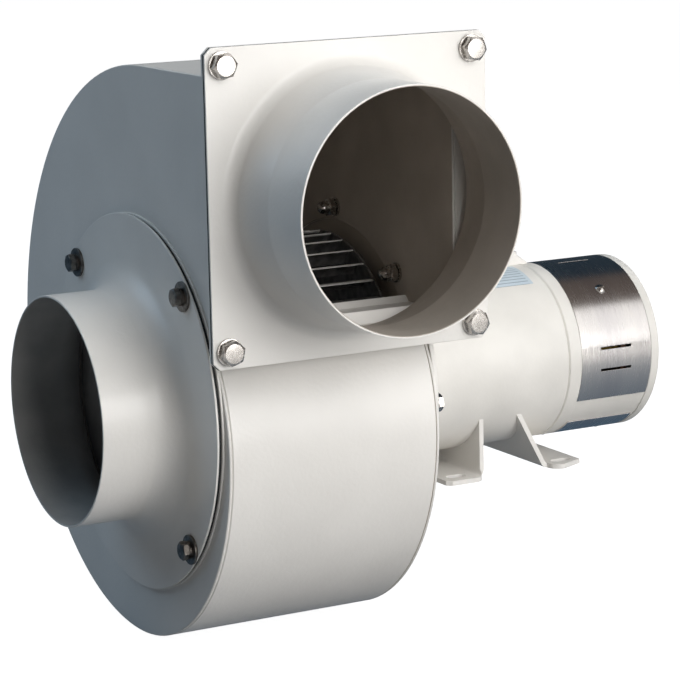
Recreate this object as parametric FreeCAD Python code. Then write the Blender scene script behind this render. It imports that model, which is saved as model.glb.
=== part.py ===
import FreeCAD, Part
import math
import os
from FreeCAD import Vector

# Centrifugal blower with a brush DC motor, sizes in millimetres.
# Everything is drawn with the shaft on the X axis: the inlet collar points to -X,
# the motor to +X, and the outlet to -Y. save() then sets it on its feet.

# Sheet metal of the casing
casing_sheet = 2.0
collar_sheet = 1.5
casing_left = -60.0
casing_width = 140.0
casing_right = casing_left + casing_width

# Hose collars and fan wheel, which set the size of the rest
collar_radius = casing_width / 2
blade_root_radius = collar_radius + 9.0
impeller_radius = blade_root_radius + 13.5

# Scroll, drawn from four centres on the corners of a small square
spiral_half_step = 14.1
cutoff_radius = impeller_radius + 13.6
lip_angle = 47.0
floor_top = 60.0

# Outlet: square plate, spun flare and round collar
outlet_face = -144.0
outlet_border = 20.0
outlet_plate_size = casing_width + 2 * outlet_border
outlet_height = 134.6
outlet_corner_cut = 4.0
outlet_gasket_sheet = 1.0
outlet_frame_sheet = 2.5
outlet_bolt_inset = 10.0
outlet_flare = 13.0
outlet_reach = 70.0

# Inlet: round plate, spun flare and round collar, over a nozzle ring
inlet_flare = 18.0
inlet_border = 27.0
inlet_plate_radius = collar_radius + inlet_flare + inlet_border
plate_bolt_inset = 8.0
inlet_bolt_circle = inlet_plate_radius - plate_bolt_inset
inlet_bolts = 4
inlet_reach = 51.0
nozzle_radius = collar_radius - 1.0
inlet_hole_radius = nozzle_radius + inlet_flare + 8.0
nozzle_reach = 40.0
inlet_gasket_sheet = 2.0
gasket_inset = 1.5
inlet_bolt_angle = 45.0

# Impeller
impeller_sheet = 1.5
wheel_clearance = 8.0
blade_length = casing_width - 46.5
blade_count = 40
front_ring_inset = 1.0
blade_curve = 14.0
blade_turn = 66.0
blade_sheet = 0.8
hub_radius = 15.0
hub_length = 34.0
hub_flange_radius = 28.0
hub_flange = 4.0
rivet_circle = 22.0
rivet_count = 6
rivet_radius = 2.0
rivet_head = 3.6
rivet_head_height = 1.4
end_washer_radius = 12.0
end_washer_sheet = 2.5
end_screw_length = 18.0
nose_setback = 0.5

# Motor-side plate that carries the motor
motor_hole_radius = impeller_radius + 6.0
motor_plate_radius = motor_hole_radius + 16.5
motor_plate_sheet = 3.0
motor_bolt_circle = motor_plate_radius - plate_bolt_inset
motor_bolts = 8
motor_plate_bore = 14.0
bell_screw_head = 5.2
bell_screw_height = 3.2
bell_screw_length = 10.5

# Motor, lengths counted along the shaft from the motor plate's outer face
motor_radius = 56.6
bell_screw_circle = motor_radius - 14.0
bell_screw_angle = 22.5
yoke_wall = 5.1
drive_bell_length = 14.0
yoke_length = 118.0
rear_bell_length = 70.2
rear_bell_wall = 6.0
end_ring = 6.9
band_start = 9.3
band_recess = 0.8
band_gap = 0.2
spigot = 6.0
spigot_gap = 0.05
spigot_wall = 5.0
bell_web = 8.0
bearing_wall = 7.0
bearing_setback = 5.5
rear_setback = 5.0
magnet_thickness = 10.0
magnet_span = 60.0
magnet_start = 14.0
magnet_length = 80.0
core_radius = motor_radius - 16.1
core_start = 20.0
core_length = 68.0
core_slots = 16
core_slot_width = 2.4
core_slot_mouth = 3.0
core_pocket = 3.2
winding_length = 11.0
winding_radius = core_radius - 4.5
through_bolt_circle = motor_radius - 9.4
through_bolt_radius = 2.5
through_bolt_angles = (45, 225)
through_bolt_head = 4.4
through_bolt_boss = 4.4
boss_inset = 0.6
counterbore_radius = 5.0
counterbore_depth = 5.0
end_wall_thickness = 10.0
rear_edge = 2.0
joint_groove = 0.5
window_width = 26.0
window_length = 34.0
brush_station = 36.0
commutator_radius = 22.0
commutator_length = 30.0
riser = 3.0
brush_gap = 0.3
brush_length = 15.0
brush_wide = 12.0
brush_thick = 8.0
box_wall = 1.5
box_foot = 4.0
box_end = 3.0
ring_thickness = 4.0
spring_roll = 3.0
spring_strip = 1.2

# Shaft and bearings
shaft_nose_radius = 7.0
shaft_body_radius = 10.0
front_bearing_bore = 8.5
front_bearing_outer = 20.0
front_bearing_width = 12.0
rear_bearing_bore = 7.5
rear_bearing_outer = 17.5
rear_bearing_width = 11.0
ball_gap = 0.1
key_size = 5.0
key_length = 20.0
key_setback = 6.0
ball_share = 0.27
land_share = 0.45
ball_spread = 0.42
cage_sheet = 1.2

# Brush covers
band_end_angle = 28.5
slot_width = 1.7
slot_length = 23.4
slot_spread = 7.2
cover_screw_head = 3.6
cover_screw_height = 2.2
cover_screw_length = 6.0
screw_angle = 131.8
lower_cover_half_angle = 28.0
lower_cover_length = 50.0
lower_screw_inset = 4.0

# Feet
shaft_height = motor_radius + 11.4
foot_sheet = 3.0
foot_bend = 3.0
web_half_width = motor_radius - 8.6
base_half_width = web_half_width + 8.0
front_foot_x = 72.0
front_foot_base = 31.0
rear_foot_x = 117.0
rear_foot_base = 27.0
rear_foot_lean = 28.0
slot_from_end = 12.0
foot_slot_length = 14.0
foot_slot_width = 7.0
foot_slot_half_spacing = base_half_width - 11.0
front_foot_cut = (3.0, 3.0)
rear_foot_cut = (16.0, 7.0)

# Terminal box on the yoke
box_start = 103.0
box_length = 28.0
box_side = 2.0
box_depth = 30.0
box_top = motor_radius + 6.4
box_sheet = 2.0
lid_sheet = 2.0
box_corner = 3.0
box_slope = 8.0
box_lip = 0.8
box_floor = motor_radius - 26.6
lid_screw_inset = 4.5
lid_screw = (1.5, 2.6, 1.6, 7.0)
lid_screw_post = 3.0
lid_post_height = 12.0
lead_hole = 5.0
strip_width = 8.0
gland_drop = 7.0
gland_radius = 8.0
gland_thread = 6.0
cable_bore = 3.0
gland_steps = (4.0, 5.0, 8.0)

# Fasteners: shank radius, hexagon across flats, head height
m8 = (4.0, 13.0, 5.3)
m6 = (3.0, 10.0, 4.0)
m4_shank = 2.0
hole_gap = 0.3
m8_washer = (8.0, 1.6)
m6_penny = (9.0, 1.6)
m6_spring = (5.4, 1.6)
m6_washer = (6.0, 1.6)
thread_end = 3.0
cap_dome = 3.0
driver_slot = 0.8

# Derived stations
motor_face = casing_right + motor_plate_sheet
back_plate_face = casing_right - casing_sheet - wheel_clearance
bore_face = back_plate_face - hub_length
yoke_start = motor_face + drive_bell_length
bell_start = yoke_start + yoke_length
bell_end = bell_start + rear_bell_length
recess_start = bell_start + band_start
recess_end = bell_end - end_ring
yoke_inside = motor_radius - yoke_wall
spigot_radius = yoke_inside - spigot_gap
bell_inside = motor_radius - rear_bell_wall
brush_x = bell_start + brush_station
band_middle = (recess_start + recess_end) / 2
front_seat = motor_face + bearing_setback
rear_seat = bell_end - rear_setback - rear_bearing_width
commutator_start = brush_x - commutator_length / 2
foot_level = -shaft_height
front_slot_x = motor_face + front_foot_x - front_foot_base + slot_from_end
rear_slot_x = motor_face + rear_foot_x + rear_foot_base - slot_from_end
foot_middle = (front_slot_x + rear_slot_x) / 2
casing_middle = casing_left + casing_width / 2
duct_end = outlet_face + collar_sheet + outlet_gasket_sheet
inlet_ring_face = casing_left - collar_sheet
inlet_gasket_face = inlet_ring_face - inlet_gasket_sheet
inlet_face = inlet_gasket_face - collar_sheet
m6_hole = m6[0] + hole_gap
m8_hole = m8[0] + hole_gap
eighth = math.sin(math.pi / 4)
X_AXIS = Vector(1, 0, 0)
Z_AXIS = Vector(0, 0, 1)
OUTLET_WAY = Vector(0, -1, 0)
INLET_WAY = Vector(-1, 0, 0)


def save(name, *pieces):
    group = Part.makeCompound(list(pieces)) if len(pieces) > 1 else pieces[0].copy()
    group.translate(Vector(-foot_middle, 0, shaft_height))
    group.exportStep("parts/" + name + ".step")


def cylinder(x, length, radius, y=0.0, z=0.0):
    return Part.makeCylinder(radius, length, Vector(x, y, z), X_AXIS)


def tube(x, length, outer, inner):
    return cylinder(x, length, outer).cut(cylinder(x - 1, length + 2, inner))


def box(x0, x1, y0, y1, z0, z1):
    return Part.makeBox(x1 - x0, y1 - y0, z1 - z0, Vector(x0, y0, z0))


def turned(points):
    wire = Part.makePolygon([Vector(x, 0, r) for x, r in points + points[:1]])
    return Part.Face(wire).revolve(Vector(0, 0, 0), X_AXIS, 360)


def section_turned(edges):
    wire = Part.Wire(Part.__sortEdges__(edges))
    return Part.Face(wire).revolve(Vector(0, 0, 0), X_AXIS, 360)


def path(points):
    return Part.makePolygon([Vector(x, 0, r) for x, r in points]).Edges


def quarter_bend(centre_x, centre_r, radius, side):
    # Quarter circle from the foot of a flare, at the centre's x, to the tube, at the centre's radius
    start = Vector(centre_x + side * radius, 0, centre_r)
    middle = Vector(centre_x + side * radius * eighth, 0, centre_r - radius * eighth)
    end = Vector(centre_x, 0, centre_r - radius)
    return Part.Arc(start, middle, end).toShape()


def around(shape, angle):
    turned_copy = shape.copy()
    turned_copy.rotate(Vector(0, 0, 0), X_AXIS, angle)
    return turned_copy


def polar(radius, angle):
    a = math.radians(angle)
    return radius * math.cos(a), radius * math.sin(a)


def circle_of(shape_at, count, first=0.0):
    return [shape_at(first + 360.0 * i / count) for i in range(count)]


def along(shape, base, direction):
    moved = shape.copy()
    moved.Placement = FreeCAD.Placement(base, FreeCAD.Rotation(Vector(0, 0, 1), direction))
    return moved


def hexagon(across_flats, height):
    corner = across_flats / math.sqrt(3)
    points = [Vector(*polar(corner, 30 + 60 * i), 0) for i in range(7)]
    prism = Part.Face(Part.makePolygon(points)).extrude(Vector(0, 0, height))
    crown = across_flats / 2 - 0.2
    rise = (corner - crown) * 0.6
    side = [(0, 0), (corner + 1, 0), (corner + 1, height - rise - 0.6), (crown, height), (0, height)]
    wire = Part.makePolygon([Vector(r, 0, h) for r, h in side + side[:1]])
    return prism.common(Part.Face(wire).revolve(Vector(0, 0, 0), Vector(0, 0, 1), 360))


def hex_bolt(size, length):
    shank, flats, height = size
    return hexagon(flats, height).fuse(Part.makeCylinder(shank, length, Vector(0, 0, -length)))


def hex_nut(size):
    shank, flats, height = size
    return hexagon(flats, height + 1).cut(Part.makeCylinder(shank, height + 3, Vector(0, 0, -1)))


def flat_washer(outer, thickness, hole):
    return Part.makeCylinder(outer, thickness).cut(Part.makeCylinder(hole, thickness))


def spring_washer(outer, thickness, hole):
    ring = flat_washer(outer, thickness, hole)
    return ring.cut(Part.makeBox(outer, driver_slot, thickness, Vector(0, -driver_slot / 2, 0)))


def pan_screw(shank, head, height, length):
    crown = Part.makeSphere(head * 1.15, Vector(0, 0, height - head * 1.15))
    cap = Part.makeCylinder(head, height).common(crown)
    slot = Part.makeBox(2 * head, driver_slot, height, Vector(-head, -driver_slot / 2, height / 2))
    return cap.cut(slot).fuse(Part.makeCylinder(shank, length, Vector(0, 0, -length)))


def wedge(half_angle):
    # Endless slice about the X axis, its middle on +Y, to cut a sector from a ring
    reach = motor_radius * 3
    y, z = polar(reach, half_angle)
    corners = [Vector(0, 0, 0), Vector(0, y, -z), Vector(0, y, z), Vector(0, 0, 0)]
    return Part.Face(Part.makePolygon(corners)).extrude(Vector(bell_end, 0, 0))


def upright_edges(shape):
    ends = [(e, e.Vertexes[0].Point, e.Vertexes[-1].Point) for e in shape.Edges]
    return [e for e, a, b in ends if abs(a.x - b.x) + abs(a.y - b.y) < 0.01]


# Scroll
def scroll_centre(quarter):
    h = spiral_half_step
    return [(-h, -h), (h, -h), (h, h), (-h, h)][quarter]


def scroll_radius(quarter, inset):
    return cutoff_radius + 2 * spiral_half_step * quarter - inset


def scroll_point(quarter, angle, inset, x):
    cy, cz = scroll_centre(quarter)
    dy, dz = polar(scroll_radius(quarter, inset), angle)
    return Vector(x, cy + dy, cz + dz)


def scroll_arcs(first_angle, inset, x):
    starts = [180 - first_angle, 180, 270, 360]
    ends = [180, 270, 360, 450]
    arcs = []
    for quarter in range(4):
        a, b = starts[quarter], ends[quarter]
        points = [scroll_point(quarter, t, inset, x) for t in (a, (a + b) / 2, b)]
        arcs.append(Part.Arc(*points).toShape())
    return arcs


def scroll_top(inset):
    return scroll_point(3, 90, inset, 0).z


def cutoff_point(z, inset):
    cy, cz = scroll_centre(0)
    return cy - math.sqrt(scroll_radius(0, inset) ** 2 - (z - cz) ** 2)


def side_outline(x):
    floor_bottom = floor_top - casing_sheet
    start_angle = math.degrees(math.asin((floor_bottom - scroll_centre(0)[1]) / scroll_radius(0, 0)))
    arcs = scroll_arcs(start_angle, 0, x)
    top_end = Vector(x, duct_end, scroll_top(0))
    low_end = Vector(x, duct_end, floor_bottom)
    straight = Part.makePolygon([scroll_point(3, 90, 0, x), top_end, low_end,
                                 Vector(x, cutoff_point(floor_bottom, 0), floor_bottom)])
    return Part.Face(Part.Wire(arcs + straight.Edges)).extrude(Vector(casing_sheet, 0, 0))


def bolt_holes(x, length, circle, count, radius, first):
    return circle_of(lambda a: cylinder(x, length, radius, *polar(circle, a)), count, first)


def inlet_side_plate():
    plate = side_outline(casing_left).cut(cylinder(casing_left, casing_sheet, inlet_hole_radius))
    return plate.cut(inlet_holes(casing_left, casing_sheet))


def motor_side_plate():
    x = casing_right - casing_sheet
    plate = side_outline(x).cut(cylinder(x, casing_sheet, motor_hole_radius))
    return plate.cut(motor_holes(x, casing_sheet))


def scroll_band():
    x = casing_left + casing_sheet
    outer = scroll_arcs(lip_angle, 0, x)
    inner = scroll_arcs(lip_angle, casing_sheet, x)
    lip_ends = [scroll_point(0, 180 - lip_angle, inset, x) for inset in (0, casing_sheet)]
    corners = [scroll_point(3, 90, 0, x), Vector(x, duct_end, scroll_top(0)),
               Vector(x, duct_end, scroll_top(casing_sheet)), scroll_point(3, 90, casing_sheet, x)]
    duct = Part.makePolygon(corners)
    edges = outer + duct.Edges + inner + [Part.makeLine(*lip_ends)]
    face = Part.Face(Part.Wire(Part.__sortEdges__(edges)))
    return face.extrude(Vector(casing_width - 2 * casing_sheet, 0, 0))


def duct_floor():
    x0, x1 = casing_left + casing_sheet, casing_right - casing_sheet
    plate = box(x0, x1, duct_end, scroll_centre(0)[0], floor_top - casing_sheet, floor_top)
    return plate.cut(cylinder(x0 - 1, x1 - x0 + 2, scroll_radius(0, 0), *scroll_centre(0)))


# Outlet
def outlet_square(y, thickness):
    half = outlet_plate_size / 2
    cut = outlet_corner_cut
    points = []
    for sx, sz in ((1, 1), (-1, 1), (-1, -1), (1, -1)):
        pair = [(sx * half, sz * (half - cut)), (sx * (half - cut), sz * half)]
        points += pair if sx * sz > 0 else pair[::-1]
    wire = Part.makePolygon([Vector(casing_middle + x, y, outlet_height + z) for x, z in points + points[:1]])
    return Part.Face(wire).extrude(Vector(0, thickness, 0))


def outlet_corners():
    half = outlet_plate_size / 2 - outlet_bolt_inset
    return [(casing_middle + sx * half, outlet_height + sz * half) for sx in (-1, 1) for sz in (-1, 1)]


def outlet_bores(y, thickness):
    return [Part.makeCylinder(m8_hole, thickness, Vector(x, y, z), Vector(0, 1, 0)) for x, z in outlet_corners()]


def outlet_round(y, thickness, radius):
    return Part.makeCylinder(radius, thickness, Vector(casing_middle, y, outlet_height), Vector(0, 1, 0))


def outlet_frame():
    x0, x1 = casing_left, casing_right
    duct = box(x0, x1, duct_end, duct_end + outlet_frame_sheet, floor_top - casing_sheet, scroll_top(0))
    plate = outlet_square(duct_end, outlet_frame_sheet)
    return plate.cut([duct] + outlet_bores(duct_end, outlet_frame_sheet))


def outlet_gasket():
    start = outlet_face + collar_sheet
    hole = outlet_round(start, outlet_gasket_sheet, collar_radius + outlet_flare)
    return outlet_square(start, outlet_gasket_sheet).cut([hole] + outlet_bores(start, outlet_gasket_sheet))


def flared_collar(flare, reach):
    # Spun sheet about the X axis, opening towards +X; its plate's outer face is at x = 0
    r, t = collar_radius, collar_sheet
    foot = r + flare
    outer = quarter_bend(flare, foot, flare, -1)
    inner = quarter_bend(flare, foot, flare + t, -1)
    tube_lines = path([(flare, r), (reach, r), (reach, r - t), (flare, r - t)])
    foot_line = path([(0, foot), (-t, foot)])
    return section_turned([outer, inner] + tube_lines + foot_line)


def faced(shape, base, direction):
    moved = shape.copy()
    moved.Placement = FreeCAD.Placement(base, FreeCAD.Rotation(X_AXIS, direction))
    return moved


def outlet_collar():
    centre = Vector(casing_middle, outlet_face, outlet_height)
    spun = faced(flared_collar(outlet_flare, outlet_reach), centre, OUTLET_WAY)
    hole = outlet_round(outlet_face, collar_sheet, collar_radius + outlet_flare)
    plate = outlet_square(outlet_face, collar_sheet).cut([hole] + outlet_bores(outlet_face, collar_sheet))
    return plate.fuse(spun).removeSplitter()


def outlet_fasteners():
    stack = collar_sheet + outlet_gasket_sheet + outlet_frame_sheet + m8_washer[1]
    bolt = hex_bolt(m8, stack + m8[2] + thread_end)
    washer = flat_washer(m8_washer[0], m8_washer[1], m8_hole)
    rear_face = duct_end + outlet_frame_sheet
    head_face = outlet_face - m8_washer[1]
    spots = outlet_corners()
    save("outlet_bolts", *[along(bolt, Vector(x, head_face, z), OUTLET_WAY) for x, z in spots])
    save("outlet_washers", *[along(washer, Vector(x, outlet_face, z), OUTLET_WAY) for x, z in spots])
    save("outlet_nuts", *[along(hex_nut(m8), Vector(x, rear_face, z), Vector(0, 1, 0)) for x, z in spots])


# Inlet
def inlet_holes(x, length):
    return bolt_holes(x, length, inlet_bolt_circle, inlet_bolts, m6_hole, inlet_bolt_angle)


def inlet_collar():
    spun = faced(flared_collar(inlet_flare, inlet_reach), Vector(inlet_face, 0, 0), INLET_WAY)
    plate = tube(inlet_face, collar_sheet, inlet_plate_radius, collar_radius + inlet_flare)
    return plate.fuse(spun).removeSplitter().cut(inlet_holes(inlet_face, collar_sheet))


def inlet_gasket():
    ring = tube(inlet_gasket_face, inlet_gasket_sheet, inlet_plate_radius - gasket_inset, inlet_hole_radius)
    return ring.cut(inlet_holes(inlet_gasket_face, inlet_gasket_sheet))


def inlet_nozzle():
    # Ring with a bell mouth that narrows to the throat inside the impeller's eye
    t = collar_sheet
    face = inlet_ring_face
    foot = nozzle_radius + inlet_flare
    bend_x = face + inlet_flare
    throat_end = casing_left + nozzle_reach
    outer = quarter_bend(bend_x, foot, inlet_flare, -1)
    inner = quarter_bend(bend_x, foot, inlet_flare - t, -1)
    throat = path([(bend_x, nozzle_radius), (throat_end, nozzle_radius), (throat_end, nozzle_radius + t),
                   (bend_x, nozzle_radius + t)])
    rim = path([(face + t, foot), (face + t, inlet_plate_radius), (face, inlet_plate_radius), (face, foot)])
    shell = section_turned([outer, inner] + throat + rim)
    return shell.cut(inlet_holes(face, t))


def inlet_fasteners():
    spots = circle_of(lambda a: polar(inlet_bolt_circle, a), inlet_bolts, inlet_bolt_angle)
    penny = flat_washer(m6_penny[0], m6_penny[1], m6_hole)
    spring = spring_washer(m6_spring[0], m6_spring[1], m6_hole)
    spring_face = inlet_face - m6_penny[1]
    head_face = spring_face - m6_spring[1]
    nut_face = casing_left + casing_sheet
    bolt = hex_bolt(m6, nut_face - head_face + m6[2] + thread_end)
    save("inlet_washers", *[along(penny, Vector(inlet_face, y, z), INLET_WAY) for y, z in spots])
    save("inlet_spring_washers", *[along(spring, Vector(spring_face, y, z), INLET_WAY) for y, z in spots])
    save("inlet_bolts", *[along(bolt, Vector(head_face, y, z), INLET_WAY) for y, z in spots])
    save("inlet_nuts", *[along(hex_nut(m6), Vector(nut_face, y, z), X_AXIS) for y, z in spots])


# Impeller
def impeller_back_plate():
    plate = tube(back_plate_face, impeller_sheet, impeller_radius, shaft_nose_radius + hole_gap)
    return plate.cut(rivet_holes(back_plate_face, impeller_sheet))


def rivet_holes(x, length):
    return bolt_holes(x, length, rivet_circle, rivet_count, rivet_radius, 0)


def impeller_front_ring():
    x = back_plate_face - blade_length - impeller_sheet
    return tube(x, impeller_sheet, impeller_radius, blade_root_radius - front_ring_inset)


def impeller_blade(angle):
    # The blade leaves its root radially and curves forward, towards the way it turns
    half = blade_sheet / 2
    turn = math.radians(blade_turn)
    x = back_plate_face - blade_length

    def at(t, offset):
        r = blade_curve + offset
        return Vector(x, blade_root_radius + r * math.sin(t), blade_curve - r * math.cos(t))

    back = Part.Arc(at(0, half), at(turn / 2, half), at(turn, half)).toShape()
    tip = Part.makeLine(at(turn, half), at(turn, -half))
    hollow = Part.Arc(at(turn, -half), at(turn / 2, -half), at(0, -half)).toShape()
    root = Part.makeLine(at(0, -half), at(0, half))
    face = Part.Face(Part.Wire([back, tip, hollow, root]))
    return around(face.extrude(Vector(blade_length, 0, 0)), angle)


def impeller_hub():
    flange_face = back_plate_face - hub_flange
    hub = cylinder(bore_face, hub_length, hub_radius)
    hub = hub.fuse(cylinder(flange_face, hub_flange, hub_flange_radius)).removeSplitter()
    hub = hub.cut(cylinder(bore_face, hub_length, shaft_nose_radius))
    return hub.cut(rivet_holes(flange_face, hub_flange)).cut(shaft_key())


def hub_rivet(angle):
    y, z = polar(rivet_circle, angle)
    start = back_plate_face - hub_flange
    end = back_plate_face + impeller_sheet
    rivet = cylinder(start, end - start, rivet_radius, y, z)
    rivet = rivet.fuse(cylinder(start - rivet_head_height, rivet_head_height, rivet_head, y, z))
    return rivet.fuse(cylinder(end, rivet_head_height, rivet_head, y, z)).removeSplitter()


def shaft_key():
    start = bore_face + key_setback
    low = shaft_nose_radius - key_size / 2
    return box(start, start + key_length, -key_size / 2, key_size / 2, low, low + key_size)


def hub_end_washer():
    return along(flat_washer(end_washer_radius, end_washer_sheet, m6_hole), Vector(bore_face, 0, 0), INLET_WAY)


def hub_end_screw():
    return along(hex_bolt(m6, end_screw_length), Vector(bore_face - end_washer_sheet, 0, 0), INLET_WAY)


# Motor plate and its fasteners
def motor_holes(x, length):
    return bolt_holes(x, length, motor_bolt_circle, motor_bolts, m6_hole, 0)


def bell_screw_spots():
    return circle_of(lambda a: polar(bell_screw_circle, a), 4, bell_screw_angle)


def motor_plate():
    plate = tube(casing_right, motor_plate_sheet, motor_plate_radius, motor_plate_bore)
    screws = [cylinder(casing_right, motor_plate_sheet, m6_hole, y, z) for y, z in bell_screw_spots()]
    return plate.cut(motor_holes(casing_right, motor_plate_sheet) + screws)


def cap_nut():
    shank, flats, height = m6
    crown = flats / 2 * 0.9
    nut = hexagon(flats, height + 1)
    top = height + cap_dome
    ball = Part.makeSphere(crown, Vector(0, 0, top))
    dome = Part.makeCylinder(crown, cap_dome, Vector(0, 0, height)).fuse(ball)
    below = Part.makeBox(2 * flats, 2 * flats, height, Vector(-flats, -flats, 0))
    thread = Part.makeCylinder(shank, height + cap_dome)
    return nut.fuse(dome.cut(below)).removeSplitter().cut(thread)


def motor_plate_fasteners():
    spots = circle_of(lambda a: polar(motor_bolt_circle, a), motor_bolts)
    inner_face = casing_right - casing_sheet
    nut_face = inner_face - m6_washer[1]
    head_face = motor_face + m6_washer[1]
    washer = flat_washer(m6_washer[0], m6_washer[1], m6_hole)
    bolt = hex_bolt(m6, head_face - nut_face + m6[2] + cap_dome / 2)
    outer_washers = [along(washer, Vector(motor_face, y, z), X_AXIS) for y, z in spots]
    inner_washers = [along(washer, Vector(inner_face, y, z), INLET_WAY) for y, z in spots]
    save("motor_plate_bolts", *[along(bolt, Vector(head_face, y, z), X_AXIS) for y, z in spots])
    save("motor_plate_washers", *(outer_washers + inner_washers))
    save("motor_plate_cap_nuts", *[along(cap_nut(), Vector(nut_face, y, z), INLET_WAY) for y, z in spots])


# Motor body
def through_bolt_rods(x, length, radius, inset=0.0):
    circle = through_bolt_circle - inset
    return [cylinder(x, length, radius, *polar(circle, a)) for a in through_bolt_angles]


def drive_end_bell():
    seat_end = front_seat + front_bearing_width
    rim = spigot_radius
    rim_end = yoke_start + spigot
    web = motor_face + bell_web
    boss = front_bearing_outer + bearing_wall
    points = [(motor_face, motor_plate_bore), (motor_face, motor_radius), (yoke_start, motor_radius),
              (yoke_start, rim), (rim_end, rim), (rim_end, rim - spigot_wall), (web, rim - bearing_wall),
              (web, boss), (seat_end, boss), (seat_end, front_bearing_outer), (front_seat, front_bearing_outer),
              (front_seat, motor_plate_bore)]
    screws = [cylinder(motor_face, bell_web, m6[0], y, z) for y, z in bell_screw_spots()]
    bosses = through_bolt_rods(motor_face + 1, rim_end - motor_face - 1, through_bolt_boss - boss_inset, boss_inset)
    bell = turned(points).fuse(bosses).common(cylinder(motor_face, rim_end, motor_radius)).removeSplitter()
    threads = through_bolt_rods(web, rim_end - web, through_bolt_radius)
    return bell.cut(screws).cut(threads).common(bell_envelope())


def bell_envelope():
    # Keeps the bosses inside the spigot where the yoke slides over it
    body = cylinder(motor_face, drive_bell_length, motor_radius)
    return body.fuse(cylinder(yoke_start, bell_end - yoke_start, spigot_radius))


def bell_screws():
    screw = pan_screw(m6[0], bell_screw_head, bell_screw_height, bell_screw_length)
    return [along(screw, Vector(casing_right, y, z), INLET_WAY) for y, z in bell_screw_spots()]


def motor_tube():
    return tube(yoke_start, yoke_length, motor_radius, yoke_inside).cut(lead_passage())


def lead_passage():
    x0, x1, y0, y1 = terminal_frame()
    return Part.makeCylinder(lead_hole, box_floor, Vector((x0 + x1) / 2, (y0 + y1) / 2, box_floor))


def field_magnet(angle):
    ring = tube(yoke_start + magnet_start, magnet_length, spigot_radius, spigot_radius - magnet_thickness)
    return around(ring.common(wedge(magnet_span / 2)), angle)


def rear_bell():
    rim = spigot_radius
    low = motor_radius - band_recess
    end_wall = bell_end - end_wall_thickness
    back = rear_seat + rear_bearing_width
    pocket = rear_bearing_bore + 4
    boss = rear_bearing_outer + spigot_wall
    spigot_start = bell_start - spigot
    points = [(spigot_start, rim - spigot_wall), (spigot_start, rim), (bell_start, rim),
              (bell_start, motor_radius - joint_groove), (bell_start + joint_groove, motor_radius),
              (recess_start, motor_radius), (recess_start, low), (recess_end, low), (recess_end, motor_radius),
              (bell_end - rear_edge, motor_radius), (bell_end, motor_radius - rear_edge), (bell_end, 0),
              (back + 2, 0), (back + 2, pocket), (back, pocket), (back, rear_bearing_outer),
              (rear_seat, rear_bearing_outer), (rear_seat, boss), (end_wall, boss),
              (end_wall, bell_inside), (bell_start, bell_inside)]
    bosses = through_bolt_rods(spigot_start, end_wall + 1 - spigot_start, through_bolt_boss, boss_inset)
    spigot_part = cylinder(spigot_start, spigot, rim)
    envelope = spigot_part.fuse(cylinder(bell_start, rear_bell_length, low)).fuse(turned(points))
    bell = turned(points).fuse(bosses).common(envelope).removeSplitter()
    bores = through_bolt_rods(spigot_start, rear_bell_length + spigot, through_bolt_radius + spigot_gap)
    bores += through_bolt_rods(bell_end - counterbore_depth, counterbore_depth, counterbore_radius)
    bell = bell.cut([brush_window(a) for a in (0, 90, 180, 270)]).cut(bores)
    return bell.cut([band_screw_hole(m4_shank)] + lower_screw_holes(m4_shank))


def brush_window(angle):
    half = window_length / 2
    side = window_width / 2
    return around(box(brush_x - half, brush_x + half, -side, side, commutator_radius, motor_radius), angle)


def through_bolts():
    # Pan heads in the end bell's counterbores, ends screwed into the drive-end bell
    face = bell_end - counterbore_depth
    length = face - motor_face - bell_web
    screw = pan_screw(through_bolt_radius, through_bolt_head, counterbore_depth / 2, length)
    return [along(screw, Vector(face, *polar(through_bolt_circle, a)), X_AXIS) for a in through_bolt_angles]


# Rotor
def armature_shaft():
    nose_start = bore_face + nose_setback
    edge = 0.8
    front_end = front_seat + front_bearing_width
    rear_end = rear_seat + rear_bearing_width + 1
    points = [(nose_start, 0), (nose_start, shaft_nose_radius - edge), (nose_start + edge, shaft_nose_radius),
              (front_seat - 2, shaft_nose_radius), (front_seat - 2, front_bearing_bore),
              (front_end, front_bearing_bore), (front_end, shaft_body_radius), (rear_seat - 2, shaft_body_radius),
              (rear_seat - 2, rear_bearing_bore), (rear_end, rear_bearing_bore), (rear_end, 0)]
    tapped = cylinder(nose_start, end_screw_length - end_washer_sheet, m6[0])
    return turned(points).cut([shaft_key(), tapped])


def armature_core():
    start = yoke_start + core_start
    half = core_slot_width / 2
    mouth = core_radius - core_slot_mouth
    slot = box(start, start + core_length, -half, half, mouth - core_pocket, core_radius)
    pocket = cylinder(start, core_length, core_pocket, 0, mouth - core_pocket)
    cuts = circle_of(lambda a: around(slot.fuse(pocket), a), core_slots)
    return tube(start, core_length, core_radius, shaft_body_radius).cut(cuts)


def winding_end(face, way):
    # Rounded overhang of the coils beyond the core
    shoulder = face + way * winding_length * 0.7
    far = face + way * winding_length
    low, high = shaft_body_radius + 3, winding_radius
    return turned([(face, low), (face, high), (shoulder, high), (far, high - 5), (far, low + 3), (shoulder, low)])


def armature_windings():
    start = yoke_start + core_start
    return [winding_end(start, -1), winding_end(start + core_length, 1)]


def commutator():
    body = tube(commutator_start, commutator_length, commutator_radius, shaft_body_radius)
    rise = tube(commutator_start - riser, riser, commutator_radius + riser, shaft_body_radius)
    return body.fuse(rise).removeSplitter()


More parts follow.
